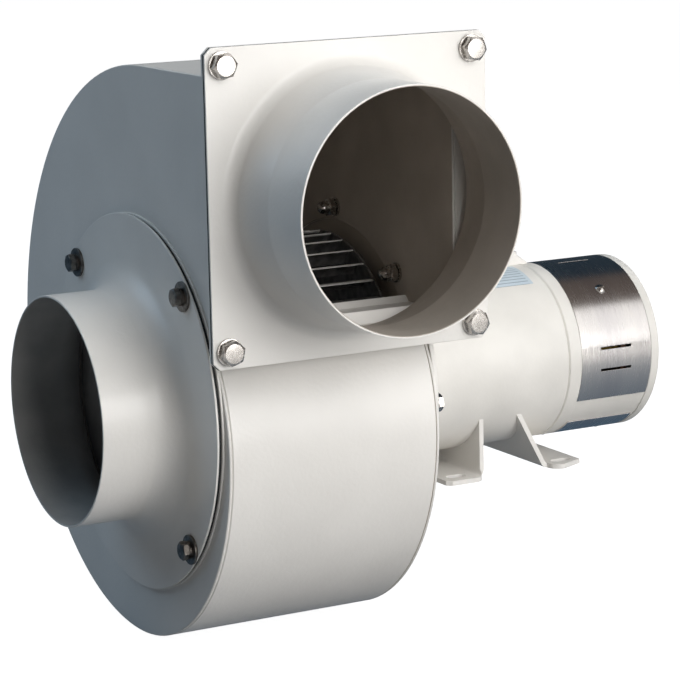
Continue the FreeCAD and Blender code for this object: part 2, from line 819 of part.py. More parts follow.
def bearing(x, bore, outer, width):
    # Deep-groove rings, the balls between them and the pressed cage that spaces the balls
    middle = (bore + outer) / 2
    ball = (outer - bore) * ball_share
    land = ball * land_share
    centre = x + width / 2
    groove = Part.makeTorus(middle, ball + ball_gap, Vector(centre, 0, 0), X_AXIS)
    inner = tube(x, width, middle - land, bore).cut(groove)
    ring = tube(x, width, outer, middle + land).cut(groove)
    count = int(math.pi * middle / ball * ball_spread)
    balls = circle_of(lambda a: Part.makeSphere(ball, Vector(centre, *polar(middle, a))), count)
    pockets = circle_of(lambda a: Part.makeSphere(ball + ball_gap, Vector(centre, *polar(middle, a))), count)
    half = ball * 1.3
    cage = tube(centre - half, 2 * half, middle + cage_sheet / 2, middle - cage_sheet / 2).cut(pockets)
    return inner, ring, balls + [cage]


def save_bearing(name, x, bore, outer, width):
    inner, ring, balls = bearing(x, bore, outer, width)
    save(name + "_inner", inner)
    save(name + "_outer", ring)
    save(name + "_balls", *balls)


# Brush gear
def brush_ring():
    start = brush_x + brush_wide / 2 + box_wall
    ring = tube(start, ring_thickness, bell_inside, commutator_radius + box_foot + 2)
    return ring.cut(through_bolt_rods(start, ring_thickness, through_bolt_boss + boss_inset, boss_inset))


def brush_prism(half_x, half_y, low, high):
    return box(brush_x - half_x, brush_x + half_x, -half_y, half_y, low, high)


def brush_box(angle):
    low, high = commutator_radius + box_foot, bell_inside - box_end
    hx, hy = brush_wide / 2, brush_thick / 2
    shell = brush_prism(hx + box_wall, hy + box_wall, low, high).cut(brush_prism(hx, hy, low, high))
    return around(shell, angle)


def brush(angle):
    low = commutator_radius + brush_gap
    block = brush_prism(brush_wide / 2, brush_thick / 2, low - 2, low + brush_length)
    return around(block.cut(cylinder(brush_x - brush_wide, 2 * brush_wide, low)), angle)


def brush_spring(angle):
    # Rolled strip that presses on the brush's end, with its tail against the box's wall
    half = brush_wide / 2 - 1
    roll = spring_roll
    z = commutator_radius + brush_gap + brush_length + roll
    core = cylinder(brush_x - half, 2 * half, roll - spring_strip, 0, z)
    coil = cylinder(brush_x - half, 2 * half, roll, 0, z).fuse(
        box(brush_x - half, brush_x + half, 0, brush_thick / 2, z, z + spring_strip))
    return around(coil.cut(core), angle)


# Brush covers
def recess_ring(start, length):
    return tube(start, length, motor_radius, motor_radius - band_recess)


def cover_hole(x, radius):
    depth = rear_bell_wall
    return Part.makeCylinder(radius, depth, Vector(x, 0, motor_radius - depth))


def cover_screw(x):
    # Pan head that sits on the round cover, shank in the bell's wall
    screw = along(pan_screw(m4_shank, cover_screw_head, cover_screw_height, cover_screw_length),
                  Vector(x, 0, motor_radius), Z_AXIS)
    under = cylinder(x - 2 * cover_screw_head, 4 * cover_screw_head, motor_radius)
    return screw.cut(under).fuse(cover_hole(x, m4_shank).common(under)).removeSplitter()


def band_screw_hole(radius):
    return around(cover_hole(band_middle, radius), screw_angle - 90)


def brush_cover_band():
    start = recess_start + band_gap
    length = recess_end - recess_start - 2 * band_gap
    band = recess_ring(start, length).cut(around(wedge(90 - band_end_angle), -90))
    half, side = slot_length / 2, slot_width / 2
    slot = box(brush_x - half, brush_x + half, -side, side, bell_inside, motor_radius)
    slots = [around(slot, a + s) for a in (90, 0, -90) for s in (slot_spread, -slot_spread)]
    return band.cut(slots).cut(band_screw_hole(m4_shank + spigot_gap))


def band_screw():
    return around(cover_screw(band_middle), screw_angle - 90)


def lower_screw_xs():
    reach = lower_cover_length / 2 - lower_screw_inset
    return [band_middle - reach, band_middle + reach]


def lower_screw_holes(radius):
    return [around(cover_hole(x, radius), 180) for x in lower_screw_xs()]


def brush_cover_lower():
    ring = recess_ring(band_middle - lower_cover_length / 2, lower_cover_length)
    return ring.common(around(wedge(lower_cover_half_angle), -90)).cut(lower_screw_holes(m4_shank + spigot_gap))


def lower_cover_screws():
    return [around(cover_screw(x), 180) for x in lower_screw_xs()]


# Feet
def foot(bend_x, base_length, way, lean, end_cut):
    # Section in XZ: base from the free end to the bend, then the web up to the yoke
    t = foot_sheet
    low = foot_level
    top = -math.sqrt(motor_radius ** 2 - web_half_width ** 2)
    slope = math.tan(math.radians(lean))
    across = way * t / math.cos(math.radians(lean))
    free = bend_x + way * base_length
    bend_in = bend_x - way * slope * t + across
    top_x = bend_x - way * slope * (top - low)
    points = [(bend_x, low), (free, low), (free, low + t), (bend_in, low + t), (top_x + across, top), (top_x, top)]
    wire = Part.makePolygon([Vector(x, -base_half_width, z) for x, z in points + points[:1]])
    bent = Part.Face(wire).extrude(Vector(0, 2 * base_half_width, 0))
    bent = bent.makeFillet(foot_bend + t, [edge_at(bent, bend_x, low)])
    bent = bent.makeFillet(foot_bend, [edge_at(bent, bend_in, low + t)])
    bent = bent.common(foot_plan(bend_x, free, way, end_cut, top))
    bent = bent.cut(cylinder(yoke_start, bell_end - yoke_start, motor_radius))
    return bent.cut([foot_slot(free - way * slot_from_end, side * foot_slot_half_spacing) for side in (-1, 1)])


def edge_at(shape, x, z):
    for edge in shape.Edges:
        ends = [v.Point for v in edge.Vertexes]
        if all(abs(p.x - x) < 0.01 and abs(p.z - z) < 0.01 for p in ends):
            return edge


def foot_slot(x, y):
    half = (foot_slot_length - foot_slot_width) / 2
    r = foot_slot_width / 2
    ends = [Part.makeCylinder(r, foot_sheet, Vector(e, y, foot_level)) for e in (x - half, x + half)]
    return box(x - half, x + half, y - r, y + r, foot_level, foot_level + foot_sheet).fuse(ends)


def foot_plan(bend_x, free, way, end_cut, top):
    # The base is wider than the web and has a rounded corner beside the bend
    w, b = web_half_width, base_half_width
    corner = b - w
    cut_x, cut_y = end_cut
    near = bend_x + way * foot_sheet
    far = near + way * corner
    middle = corner * (1 - eighth)
    behind = bend_x - way * (w + b)
    ends = [(far, b), (free - way * cut_x, b), (free, b - cut_y),
            (free, cut_y - b), (free - way * cut_x, -b), (far, -b)]
    web = [(near, -w), (behind, -w), (behind, w), (near, w)]
    edges = []
    for side in (1, -1):
        bend = [(near, side * w), (near + way * middle, side * (b - middle)), (far, side * b)]
        edges.append(Part.Arc(*[Vector(x, y, foot_level) for x, y in bend]).toShape())
    for run in (ends, web):
        edges += Part.makePolygon([Vector(x, y, foot_level) for x, y in run]).Edges
    return Part.Face(Part.Wire(Part.__sortEdges__(edges))).extrude(Vector(0, 0, top - foot_level))


# Terminal box
def terminal_frame():
    x0 = motor_face + box_start
    return x0, x0 + box_length, box_side, box_side + box_depth


def terminal_box():
    # Moulded box whose rear end slopes out over the front land of the rear bell
    x0, x1, y0, y1 = terminal_frame()
    t = box_sheet
    foot = x1 + box_slope
    lip = motor_radius + box_lip
    side = [(x0, box_floor), (foot, box_floor), (foot, lip), (x1, box_top), (x0, box_top), (x0, box_floor)]
    wire = Part.makePolygon([Vector(x, y0, z) for x, z in side])
    block = Part.Face(wire).extrude(Vector(0, y1 - y0, 0))
    ends = [(e, e.Vertexes[0].Point, e.Vertexes[-1].Point) for e in block.Edges]
    corners = [e for e, a, b in ends if abs(a.y - b.y) < 0.01 < abs(a.z - b.z)]
    block = block.makeFillet(box_corner, corners)
    yoke = cylinder(x0, foot - x0, motor_radius)
    floor = cylinder(x0, box_length, motor_radius + t)
    hollow = box(x0 + t, x1 - t, y0 + t, y1 - t, box_floor, box_top).cut(floor)
    low = box_top - lid_post_height
    posts = [Part.makeCylinder(lid_screw_post, lid_post_height, Vector(x, y, low)) for x, y in lid_screw_spots()]
    block = block.cut(hollow).fuse(posts).removeSplitter()
    return block.cut([yoke, lead_passage(), gland_hole()] + lid_screw_holes(box_top + lid_sheet - lid_screw[3]))


def lid_screw_spots():
    x0, x1, y0, y1 = terminal_frame()
    inset = lid_screw_inset
    return [(x0 + inset, y0 + inset), (x1 - inset, y1 - inset)]


def lid_screw_holes(low):
    length = box_top + lid_sheet - low
    return [Part.makeCylinder(lid_screw[0], length, Vector(x, y, low)) for x, y in lid_screw_spots()]


def gland_centre():
    x0, x1, y0, y1 = terminal_frame()
    return Vector((x0 + x1) / 2, y1, box_top - gland_drop)


def gland_hole():
    return Part.makeCylinder(gland_thread, box_sheet, gland_centre() - Vector(0, box_sheet, 0), Vector(0, 1, 0))


def terminal_lid():
    x0, x1, y0, y1 = terminal_frame()
    lid = box(x0, x1, y0, y1, box_top, box_top + lid_sheet)
    return lid.makeFillet(box_corner, upright_edges(lid)).cut(lid_screw_holes(box_top))


def lid_screws():
    screw = pan_screw(*lid_screw)
    return [along(screw, Vector(x, y, box_top + lid_sheet), Z_AXIS) for x, y in lid_screw_spots()]


def terminal_strip():
    x0, x1, y0, y1 = terminal_frame()
    middle = (x0 + x1) / 2
    near = y0 + box_sheet
    half = strip_width / 2
    block = box(middle - half, middle + half, near, near + strip_width, box_floor, box_top - 1)
    return block.cut(cylinder(x0, box_length, motor_radius + box_sheet))


def cable_gland():
    # Threaded neck, hexagon, plain collar and dome nut, with the cable's bore right through
    out = Vector(0, 1, 0)
    base = gland_centre()
    flange, collar, dome = gland_steps
    neck = along(Part.makeCylinder(gland_thread, box_sheet), base - out * box_sheet, out)
    hexagonal = along(hexagon(2 * gland_radius - 1, flange), base, out)
    plain = along(Part.makeCylinder(gland_thread + 0.5, collar), base + out * flange, out)
    nut = along(Part.makeCone(gland_radius - 1, gland_radius - 3, dome), base + out * (flange + collar), out)
    bore = along(Part.makeCylinder(cable_bore, box_sheet + flange + collar + dome), base - out * box_sheet, out)
    return neck.fuse([hexagonal, plain, nut]).removeSplitter().cut(bore)


def build():
    save("scroll_band", scroll_band())
    save("inlet_side_plate", inlet_side_plate())
    save("motor_side_plate", motor_side_plate())
    save("duct_floor", duct_floor())
    save("outlet_frame", outlet_frame())
    save("outlet_gasket", outlet_gasket())
    save("outlet_collar", outlet_collar())
    outlet_fasteners()
    save("inlet_collar", inlet_collar())
    save("inlet_gasket", inlet_gasket())
    save("inlet_nozzle", inlet_nozzle())
    inlet_fasteners()
    save("impeller_back_plate", impeller_back_plate())
    save("impeller_front_ring", impeller_front_ring())
    save("impeller_blades", *circle_of(impeller_blade, blade_count))
    save("impeller_hub", impeller_hub())
    save("hub_rivets", *circle_of(hub_rivet, rivet_count))
    save("shaft_key", shaft_key())
    save("hub_end_washer", hub_end_washer())
    save("hub_end_screw", hub_end_screw())
    save("motor_plate", motor_plate())
    motor_plate_fasteners()
    save("drive_end_bell", drive_end_bell())
    save("bell_screws", *bell_screws())
    save("motor_tube", motor_tube())
    save("field_magnets", *circle_of(field_magnet, 4))
    save("rear_bell", rear_bell())
    save("through_bolts", *through_bolts())
    save("armature_shaft", armature_shaft())
    save("armature_core", armature_core())
    save("armature_windings", *armature_windings())
    save("commutator", commutator())
    save_bearing("front_bearing", front_seat, front_bearing_bore, front_bearing_outer, front_bearing_width)
    save_bearing("rear_bearing", rear_seat, rear_bearing_bore, rear_bearing_outer, rear_bearing_width)
    save("brush_ring", brush_ring())
    save("brush_boxes", *circle_of(brush_box, 4))
    save("brushes", *circle_of(brush, 4))
    save("brush_springs", *circle_of(brush_spring, 4))
    save("brush_cover_band", brush_cover_band())
    save("band_screw", band_screw())
    save("brush_cover_lower", brush_cover_lower())
    save("lower_cover_screws", *lower_cover_screws())
    save("front_foot", foot(motor_face + front_foot_x, front_foot_base, -1, 0.0, front_foot_cut))
    save("rear_foot", foot(motor_face + rear_foot_x, rear_foot_base, 1, rear_foot_lean, rear_foot_cut))
    save("terminal_box", terminal_box())
    save("terminal_lid", terminal_lid())
    save("lid_screws", *lid_screws())
    save("terminal_strip", terminal_strip())
    save("cable_gland", cable_gland())


os.makedirs("parts", exist_ok=True)
build()
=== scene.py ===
import math

import bmesh
import bpy
from mathutils import Matrix, Vector


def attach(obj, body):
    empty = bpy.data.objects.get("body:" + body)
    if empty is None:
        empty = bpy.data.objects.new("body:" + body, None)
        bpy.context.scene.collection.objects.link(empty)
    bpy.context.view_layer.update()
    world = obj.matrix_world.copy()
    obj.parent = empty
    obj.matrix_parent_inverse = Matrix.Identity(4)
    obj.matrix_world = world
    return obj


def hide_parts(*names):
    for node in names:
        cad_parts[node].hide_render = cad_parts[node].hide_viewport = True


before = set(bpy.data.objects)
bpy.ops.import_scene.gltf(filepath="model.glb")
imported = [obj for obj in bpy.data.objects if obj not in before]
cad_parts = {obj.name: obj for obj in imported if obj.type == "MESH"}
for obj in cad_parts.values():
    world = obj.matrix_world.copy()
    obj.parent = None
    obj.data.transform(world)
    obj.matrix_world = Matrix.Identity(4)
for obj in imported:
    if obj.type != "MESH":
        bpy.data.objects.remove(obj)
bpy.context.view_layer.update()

# Scroll band
# One strip of 2 mm steel sheet rolled to a spiral and welded between the two side plates. Its
# free inner end is the lip that parts the outlet from the wheel. White epoxy powder coat.
sheet = 2.0
casing_left, casing_right = -60.0, 80.0
spiral_half_step = 14.1
cutoff_radius = 106.1
lip_angle = 47.0
duct_end = -141.5
band_edge = 0.7


def fan_point(x, y, z):
    # Millimetres about the shaft's axis to metres on the bench under the feet
    return (x - 175.5) / 1000, y / 1000, (z + 68.0) / 1000


def linear(hex_colour):
    parts = [int(hex_colour[i:i + 2], 16) / 255 for i in (1, 3, 5)]
    return tuple(p / 12.92 if p <= 0.04045 else ((p + 0.055) / 1.055) ** 2.4 for p in parts) + (1.0,)


def add_node(tree, kind, inputs=None, **settings):
    node = tree.nodes.new(kind)
    for setting, value in settings.items():
        setattr(node, setting, value)
    for socket, value in (inputs or {}).items():
        if isinstance(value, bpy.types.NodeSocket):
            tree.links.new(value, node.inputs[socket])
        else:
            node.inputs[socket].default_value = value
    return node


def maths(tree, operation, *values):
    return add_node(tree, "ShaderNodeMath", dict(enumerate(values)), operation=operation).outputs[0]


def blend(tree, share, first, second):
    colours = {0: share, 6: first, 7: second}
    return add_node(tree, "ShaderNodeMix", colours, data_type="RGBA").outputs[2]


def finish(name, light, dark, patch_mm, roughness, metallic=0.0, grain_mm=1.5, relief_mm=0.01,
           stretch=(1.0, 1.0, 1.0), specular=0.5):
    # Colour that drifts between two shades, with a fine grain in the gloss and the bump
    material = bpy.data.materials.new(name)
    material.use_nodes = True
    tree = material.node_tree
    tree.nodes.clear()
    place = add_node(tree, "ShaderNodeTexCoord").outputs["Object"]
    laid = add_node(tree, "ShaderNodeMapping", {"Vector": place, "Scale": stretch}).outputs["Vector"]
    patches = add_node(tree, "ShaderNodeTexNoise",
                       {"Vector": laid, "Scale": 1000 / patch_mm, "Detail": 3.0})
    grain = add_node(tree, "ShaderNodeTexNoise", {"Vector": laid, "Scale": 1000 / grain_mm, "Detail": 2.0})
    spread = add_node(tree, "ShaderNodeMapRange", {0: patches.outputs[0], 1: 0.35, 2: 0.65})
    colour = blend(tree, spread.outputs[0], linear(dark), linear(light))
    gloss = add_node(tree, "ShaderNodeMapRange",
                     {0: grain.outputs[0], 1: 0.3, 2: 0.7, 3: roughness[0], 4: roughness[1]})
    relief = add_node(tree, "ShaderNodeBump", {"Height": grain.outputs[0], "Distance": relief_mm / 1000})
    surface = add_node(tree, "ShaderNodeBsdfPrincipled", {
        "Base Color": colour, "Roughness": gloss.outputs[0], "Normal": relief.outputs[0],
        "Metallic": metallic, "Specular IOR Level": specular})
    add_node(tree, "ShaderNodeOutputMaterial", {"Surface": surface.outputs[0]})
    return material


def close_piece(name, mesh, material, sharp=30.0):
    # Merges doubles, turns the faces outwards and shades smooth up to the given angle
    work = bmesh.new()
    work.from_mesh(mesh)
    bmesh.ops.remove_doubles(work, verts=work.verts, dist=0.000004)
    bmesh.ops.recalc_face_normals(work, faces=work.faces)
    work.to_mesh(mesh)
    work.free()
    mesh.shade_smooth()
    mesh.set_sharp_from_angle(angle=math.radians(sharp))
    mesh.materials.clear()
    mesh.materials.append(material)
    piece = bpy.data.objects.new(name, mesh)
    bpy.context.scene.collection.objects.link(piece)
    return piece


def even_shading(piece):
    # Lets the large faces rule the shading, so that a rounded edge doesn't bend it
    flat_faces = piece.modifiers.new("large faces rule", "WEIGHTED_NORMAL")
    flat_faces.weight = 100
    flat_faces.keep_sharp = True


def mesh_about_shaft(name, points, faces):
    mesh = bpy.data.meshes.new(name)
    mesh.from_pydata([fan_point(*p) for p in points], [], faces)
    return mesh


def make_piece(name, points, faces, material):
    piece = close_piece(name, mesh_about_shaft(name, points, faces), material)
    even_shading(piece)
    return piece


def spiral(first_angle, inset):
    # Four arcs about the corners of a small square, from the lip to the top of the duct
    h, step = spiral_half_step, 2.5
    line = []
    for quarter, (cy, cz) in enumerate([(-h, -h), (h, -h), (h, h), (-h, h)]):
        start = 90 + 90 * quarter if quarter else 180 - first_angle
        sweep = 180 + 90 * quarter - start
        count = round(sweep / step)
        radius = cutoff_radius + 2 * h * quarter - inset
        for i in range(count + (quarter == 3)):
            a = math.radians(start + sweep * i / count)
            line.append((cy + radius * math.cos(a), cz + radius * math.sin(a)))
    return line


def strip_along(stations, section):
    # Section points are (x, share of the way from the outer line to the inner one)
    points = []
    for (y0, z0), (y1, z1) in stations:
        points += [(x, y0 + (y1 - y0) * t, z0 + (z1 - z0) * t) for x, t in section]
    n = len(section)
    faces = [tuple(range(n)), tuple(range(len(points) - n, len(points)))]
    for i in range(len(stations) - 1):
        for j in range(n):
            k = (j + 1) % n
            faces.append((i * n + j, i * n + k, i * n + n + k, i * n + n + j))
    return points, faces


def shade_inside_faces(piece, coat, looks_inside):
    # The faces that look into the casing get a darker coat: painted shade for the dim inside
    piece.data.materials.append(coat)
    for face in piece.data.polygons:
        face.material_index = int(looks_inside(face))


shaft_line = Vector(fan_point(0, 0, 0)) * Vector((0, 1, 1))


def looks_at_shaft(face):
    return face.normal.dot(face.center * Vector((0, 1, 1)) - shaft_line) < -0.01


# Epoxy powder coat: a satin, slightly orange-peeled warm white; the peel is drawn at 2.5 mm to show
powder_coat = finish("white_epoxy_powder_coat", "#E9E6E1", "#E3E0DB", 60, (0.28, 0.36), grain_mm=2.5,
                     relief_mm=0.09)
# Inside the casing: a duller, darker brownish coat; its darkness is painted shade for the dimly lit
# interior
inside_shade_coat = finish("inside_coat_painted_shade", "#C3BAB0", "#B4ACA2", 45, (0.45, 0.6), grain_mm=2.5,
                     relief_mm=0.05, specular=0.3)
duct_top = spiral_half_step + cutoff_radius + 6 * spiral_half_step
outer_line = spiral(lip_angle, 0.0) + [(duct_end, duct_top)]
inner_line = spiral(lip_angle, sheet) + [(duct_end, duct_top - sheet)]
left, right, edge = casing_left + sheet, casing_right - sheet, band_edge / sheet
band_section = [(left, 1.0), (left, edge), (left + band_edge, 0.0), (right - band_edge, 0.0), (right, edge),
                (right, 1.0)]
scroll_sheet = make_piece("scroll_band_sheet",
                          *strip_along(list(zip(outer_line, inner_line)), band_section), powder_coat)
shade_inside_faces(scroll_sheet, inside_shade_coat, looks_at_shaft)
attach(scroll_sheet, "frame")
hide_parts("scroll_band")

# Side plates
# Two flat sheets cut to the scroll's outline, one with the inlet's hole and one with the larger
# motor-side hole. Their cut edges are rounded by the deburring and the coat.
floor_top = 60.0
plate_edge = 0.8
inlet_hole, motor_hole = 95.0, 98.5


def circle(radius):
    count = 96
    angles = [math.tau * i / count for i in range(count)]
    return [(radius * math.cos(a), radius * math.sin(a)) for a in angles]


def cut_sheet(name, loops, thickness, edge, place, material):
    # A flat sheet with holes and rounded edges; place() puts its (u, v, depth) about the shaft
    curve = bpy.data.curves.new(name, "CURVE")
    curve.dimensions = "2D"
    curve.fill_mode = "BOTH"
    curve.extrude = thickness / 2 - edge
    curve.bevel_depth = edge
    curve.bevel_resolution = 1
    curve.offset = -edge
    for loop in loops:
        spline = curve.splines.new("POLY")
        spline.points.add(len(loop) - 1)
        for point, (u, v) in zip(spline.points, loop):
            point.co = (u, v, 0.0, 1.0)
        spline.use_cyclic_u = True
    holder = bpy.data.objects.new(name, curve)
    mesh = bpy.data.meshes.new_from_object(holder)
    bpy.data.objects.remove(holder)
    bpy.data.curves.remove(curve)
    for vertex in mesh.vertices:
        u, v, depth = vertex.co
        vertex.co = fan_point(*place(u, v, depth + thickness / 2))
    piece = close_piece(name, mesh, material, 50.0)
    even_shading(piece)
    return piece


floor_bottom = floor_top - sheet
start_angle = math.degrees(math.asin((floor_bottom + spiral_half_step) / cutoff_radius))
side_outline = spiral(start_angle, 0.0) + [(duct_end, duct_top), (duct_end, floor_bottom)]
inlet_side = cut_sheet("inlet_side_sheet", [side_outline, circle(inlet_hole)], sheet, plate_edge,
                       lambda u, v, depth: (casing_left + depth, u, v), powder_coat)
motor_side = cut_sheet("motor_side_sheet", [side_outline, circle(motor_hole)], sheet, plate_edge,
                       lambda u, v, depth: (casing_right - sheet + depth, u, v), powder_coat)
shade_inside_faces(inlet_side, inside_shade_coat, lambda face: face.normal.x > 0.9)
shade_inside_faces(motor_side, inside_shade_coat, lambda face: face.normal.x < -0.9)
for side_sheet, node in ((inlet_side, "inlet_side_plate"), (motor_side, "motor_side_plate")):
    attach(side_sheet, "frame")
    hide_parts(node)

# Duct floor
# The sheet that closes the outlet duct below, welded between the side plates and on to the
# scroll, coated with them.


def dress(material, *nodes):
    # A CAD solid keeps its shape and gets the finish
    for node in nodes:
        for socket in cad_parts[node].material_slots:
            socket.material = material


dress(powder_coat, "duct_floor")

# Outlet frame and gasket
# A laser-cut 2.5 mm frame welded round the duct's mouth, and the 1 mm rubber gasket on it.
outlet_middle = 10.0
outlet_height = 134.6
outlet_half = 90.0
corner_cut = 4.0
frame_sheet = 2.5
frame_edge = 0.5
gasket_sheet = 1.0


def cut_square(half, cut):
    points = []
    for su, sv in ((1, 1), (-1, 1), (-1, -1), (1, -1)):
        pair = [(su * half, sv * (half - cut)), (su * (half - cut), sv * half)]
        points += pair if su * sv > 0 else pair[::-1]
    return [(outlet_middle + u, outlet_height + v) for u, v in points]


duct_mouth = [(casing_left, floor_bottom), (casing_right, floor_bottom), (casing_right, duct_top),
              (casing_left, duct_top)]
mouth_frame = cut_sheet("outlet_frame_sheet", [cut_square(outlet_half, corner_cut), duct_mouth],
                        frame_sheet, frame_edge, lambda u, v, depth: (u, duct_end + depth, v), powder_coat)
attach(mouth_frame, "frame")
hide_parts("outlet_frame")
# EPDM sheet: matt, near-black, with a faint knife-cut grain on its edge
rubber = finish("black_rubber_sheet", "#2B2C2E", "#1F2022", 8, (0.7, 0.85), grain_mm=0.8, relief_mm=0.03)
dress(rubber, "outlet_gasket")

# Outlet collar
# A square plate spun outwards through a short taper into the round collar that a hose clamps
# on. One 1.5 mm sheet, its rim deburred, powder-coated.
collar_radius = 70.0
collar_sheet = 1.5
outlet_face = -144.0
outlet_foot_radius = 76.0
outlet_foot_fillet = 8.0
outlet_crease = -176.0
crease_fillet = 12.0
outlet_rim = -214.0


def rounded(corners):
    # Corners are (along, radius, fillet); each fillet becomes an arc
    line = []
    for i, (a, r, fillet) in enumerate(corners):
        here = Vector((a, r))
        before = Vector(corners[i - 1][:2]) - here
        after = Vector(corners[(i + 1) % len(corners)][:2]) - here
        if not fillet:
            line.append((a, r))
            continue
        before.normalize()
        after.normalize()
        half = before.angle(after) / 2
        centre = here + (before + after).normalized() * fillet / math.sin(half)
        start = here + before * fillet / math.tan(half) - centre
        end = here + after * fillet / math.tan(half) - centre
        steps = 3 + int(fillet / 1.5)
        turn = start.angle_signed(end)
        for step in range(steps + 1):
            spoke = Matrix.Rotation(-turn * step / steps, 2) @ start
            line.append(tuple(centre + spoke))
    return line


def turned(corners_at, place, angles):
    # Closed outline swept round an axis; corners_at gives its corners at each angle
    rings = [rounded(corners_at(a)) for a in angles]
    n = len(rings[0])
    points = [place(along, radius, a) for a, ring in zip(angles, rings) for along, radius in ring]
    faces = []
    for i in range(len(angles)):
        low, high = i * n, (i + 1) % len(angles) * n
        for j in range(n):
            k = (j + 1) % n
            faces.append((low + j, low + k, high + k, high + j))
    return points, faces


def about_shaft(along, radius, angle):
    return along, radius * math.cos(angle), radius * math.sin(angle)


def about_outlet(along, radius, angle):
    return outlet_middle + radius * math.cos(angle), along, outlet_height + radius * math.sin(angle)


def square_reach(angle):
    # How far the plate reaches from its middle in a direction
    c, s = abs(math.cos(angle)), abs(math.sin(angle))
    return min(outlet_half / max(c, s), (2 * outlet_half - corner_cut) / (c + s))


def outlet_collar_corners(angle):
    reach = square_reach(angle)
    back, inner = outlet_face + collar_sheet, collar_radius - collar_sheet
    inner_foot, inner_fillet = outlet_foot_radius - collar_sheet, outlet_foot_fillet + collar_sheet
    return [(outlet_face, reach, 0.5), (outlet_face, outlet_foot_radius, outlet_foot_fillet),
            (outlet_crease, collar_radius, crease_fillet), (outlet_rim, collar_radius, 0.5),
            (outlet_rim, inner, 0.5), (outlet_crease, inner, crease_fillet),
            (back, inner_foot, inner_fillet), (back, reach, 0.5)]


collar_steps = 192
even_turn = [math.tau * i / collar_steps for i in range(collar_steps)]
corner_turn = math.atan2(outlet_half - corner_cut, outlet_half)
corner_angles = [q * math.pi / 2 + a for q in range(4) for a in (corner_turn, math.pi / 2 - corner_turn)]
square_turn = sorted(set(round(a, 6) for a in even_turn + corner_angles))
outlet_spinning = make_piece("outlet_collar_spun",
                             *turned(outlet_collar_corners, about_outlet, square_turn), powder_coat)
outlet_axis = Vector(fan_point(outlet_middle, 0, outlet_height)) * Vector((1, 0, 1))


def looks_into_outlet(face):
    return face.normal.dot(face.center * Vector((1, 0, 1)) - outlet_axis) < -0.01 or face.normal.y > 0.9


shade_inside_faces(outlet_spinning, inside_shade_coat, looks_into_outlet)
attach(outlet_spinning, "frame")
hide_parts("outlet_collar")

# Outlet sill
# A folded strip welded over the front edge of the duct floor, which lifts the air clear of the
# collar's foot. It shows as the bright slope at the bottom of the outlet.
weld_gap = 0.1
sill_ends = (casing_left + sheet + weld_gap, casing_right - sheet - weld_gap)
# The section's corners are (y, z, rounding) about the shaft
sill_section = rounded([(-141.3, 60.1, 0.3), (-137.0, 67.6, 0.8), (-135.2, 66.6, 0.8), (-138.9, 60.1, 0.3)])
n = len(sill_section)
sill_faces = [(j, (j + 1) % n, n + (j + 1) % n, n + j) for j in range(n)]
sill_faces += [tuple(range(n)), tuple(range(n, 2 * n))]
sill_points = [(x, y, z) for x in sill_ends for y, z in sill_section]
outlet_sill = make_piece("outlet_sill_strip", sill_points, sill_faces, powder_coat)
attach(outlet_sill, "frame")

# Outlet fasteners
# Four M8 hexagon bolts in the corners with plain washers outside and nuts behind the frame.
# Cold-headed stainless steel, 13 mm across flats.
m8_flats = 13.0
m8_head = 5.3
m8_shank = 4.0
m8_washer_radius, m8_washer_hole = 8.0, 4.3
washer_sheet = 1.6


def about_z(along, radius, angle):
    return radius * math.cos(angle) / 1000, radius * math.sin(angle) / 1000, along / 1000


def hex_reach(flats, angle):
    sixth = math.pi / 3
    return flats / 2 / math.cos((angle + sixth / 2) % sixth - sixth / 2)


def hex_corners(flats, height, shank, length):
    # Chamfered hexagon head on +Z with its washer face at 0, and a threaded shank on -Z
    crown = flats * 0.43
    pitch, thread_depth = 1.2, 0.5

    def at(angle):
        reach = hex_reach(flats, angle)
        shoulder = height - (reach - crown) * 0.5
        rings = [(0, 0.0, 0), (height, 0.0, 0), (height, crown, 0.25), (shoulder, reach, 0),
                 (0.2, reach, 0), (0, reach - 0.3, 0)]
        if length:
            rings.append((0, shank, 0))
            turns = int(length / pitch) - 1
            rings += [(-pitch * i - pitch / 2 * k, shank - thread_depth * k, 0) for i in range(1, turns)
                      for k in (0, 1)]
            rings += [(-length + 0.5, shank - 0.1, 0), (-length, shank - 0.7, 0), (-length, 0.0, 0)]
        return rings
    return at


def pattern_of(points, faces, material, sharp=30.0):
    mesh = bpy.data.meshes.new("pattern")
    mesh.from_pydata(points, [], faces)
    return close_piece("pattern", mesh, material, sharp)


def fastener_pattern(corners_at, material):
    sides = 36
    angles = [math.tau * i / sides for i in range(sides)]
    return pattern_of(*turned(corners_at, about_z, angles), material, 25.0)


def ring_corners(*corners):
    return lambda angle: list(corners)


def washer_corners(outer, thickness, hole):
    return ring_corners((0, outer, 0.25), (0, hole, 0.25), (thickness, hole, 0.25),
                        (thickness, outer, 0.25))


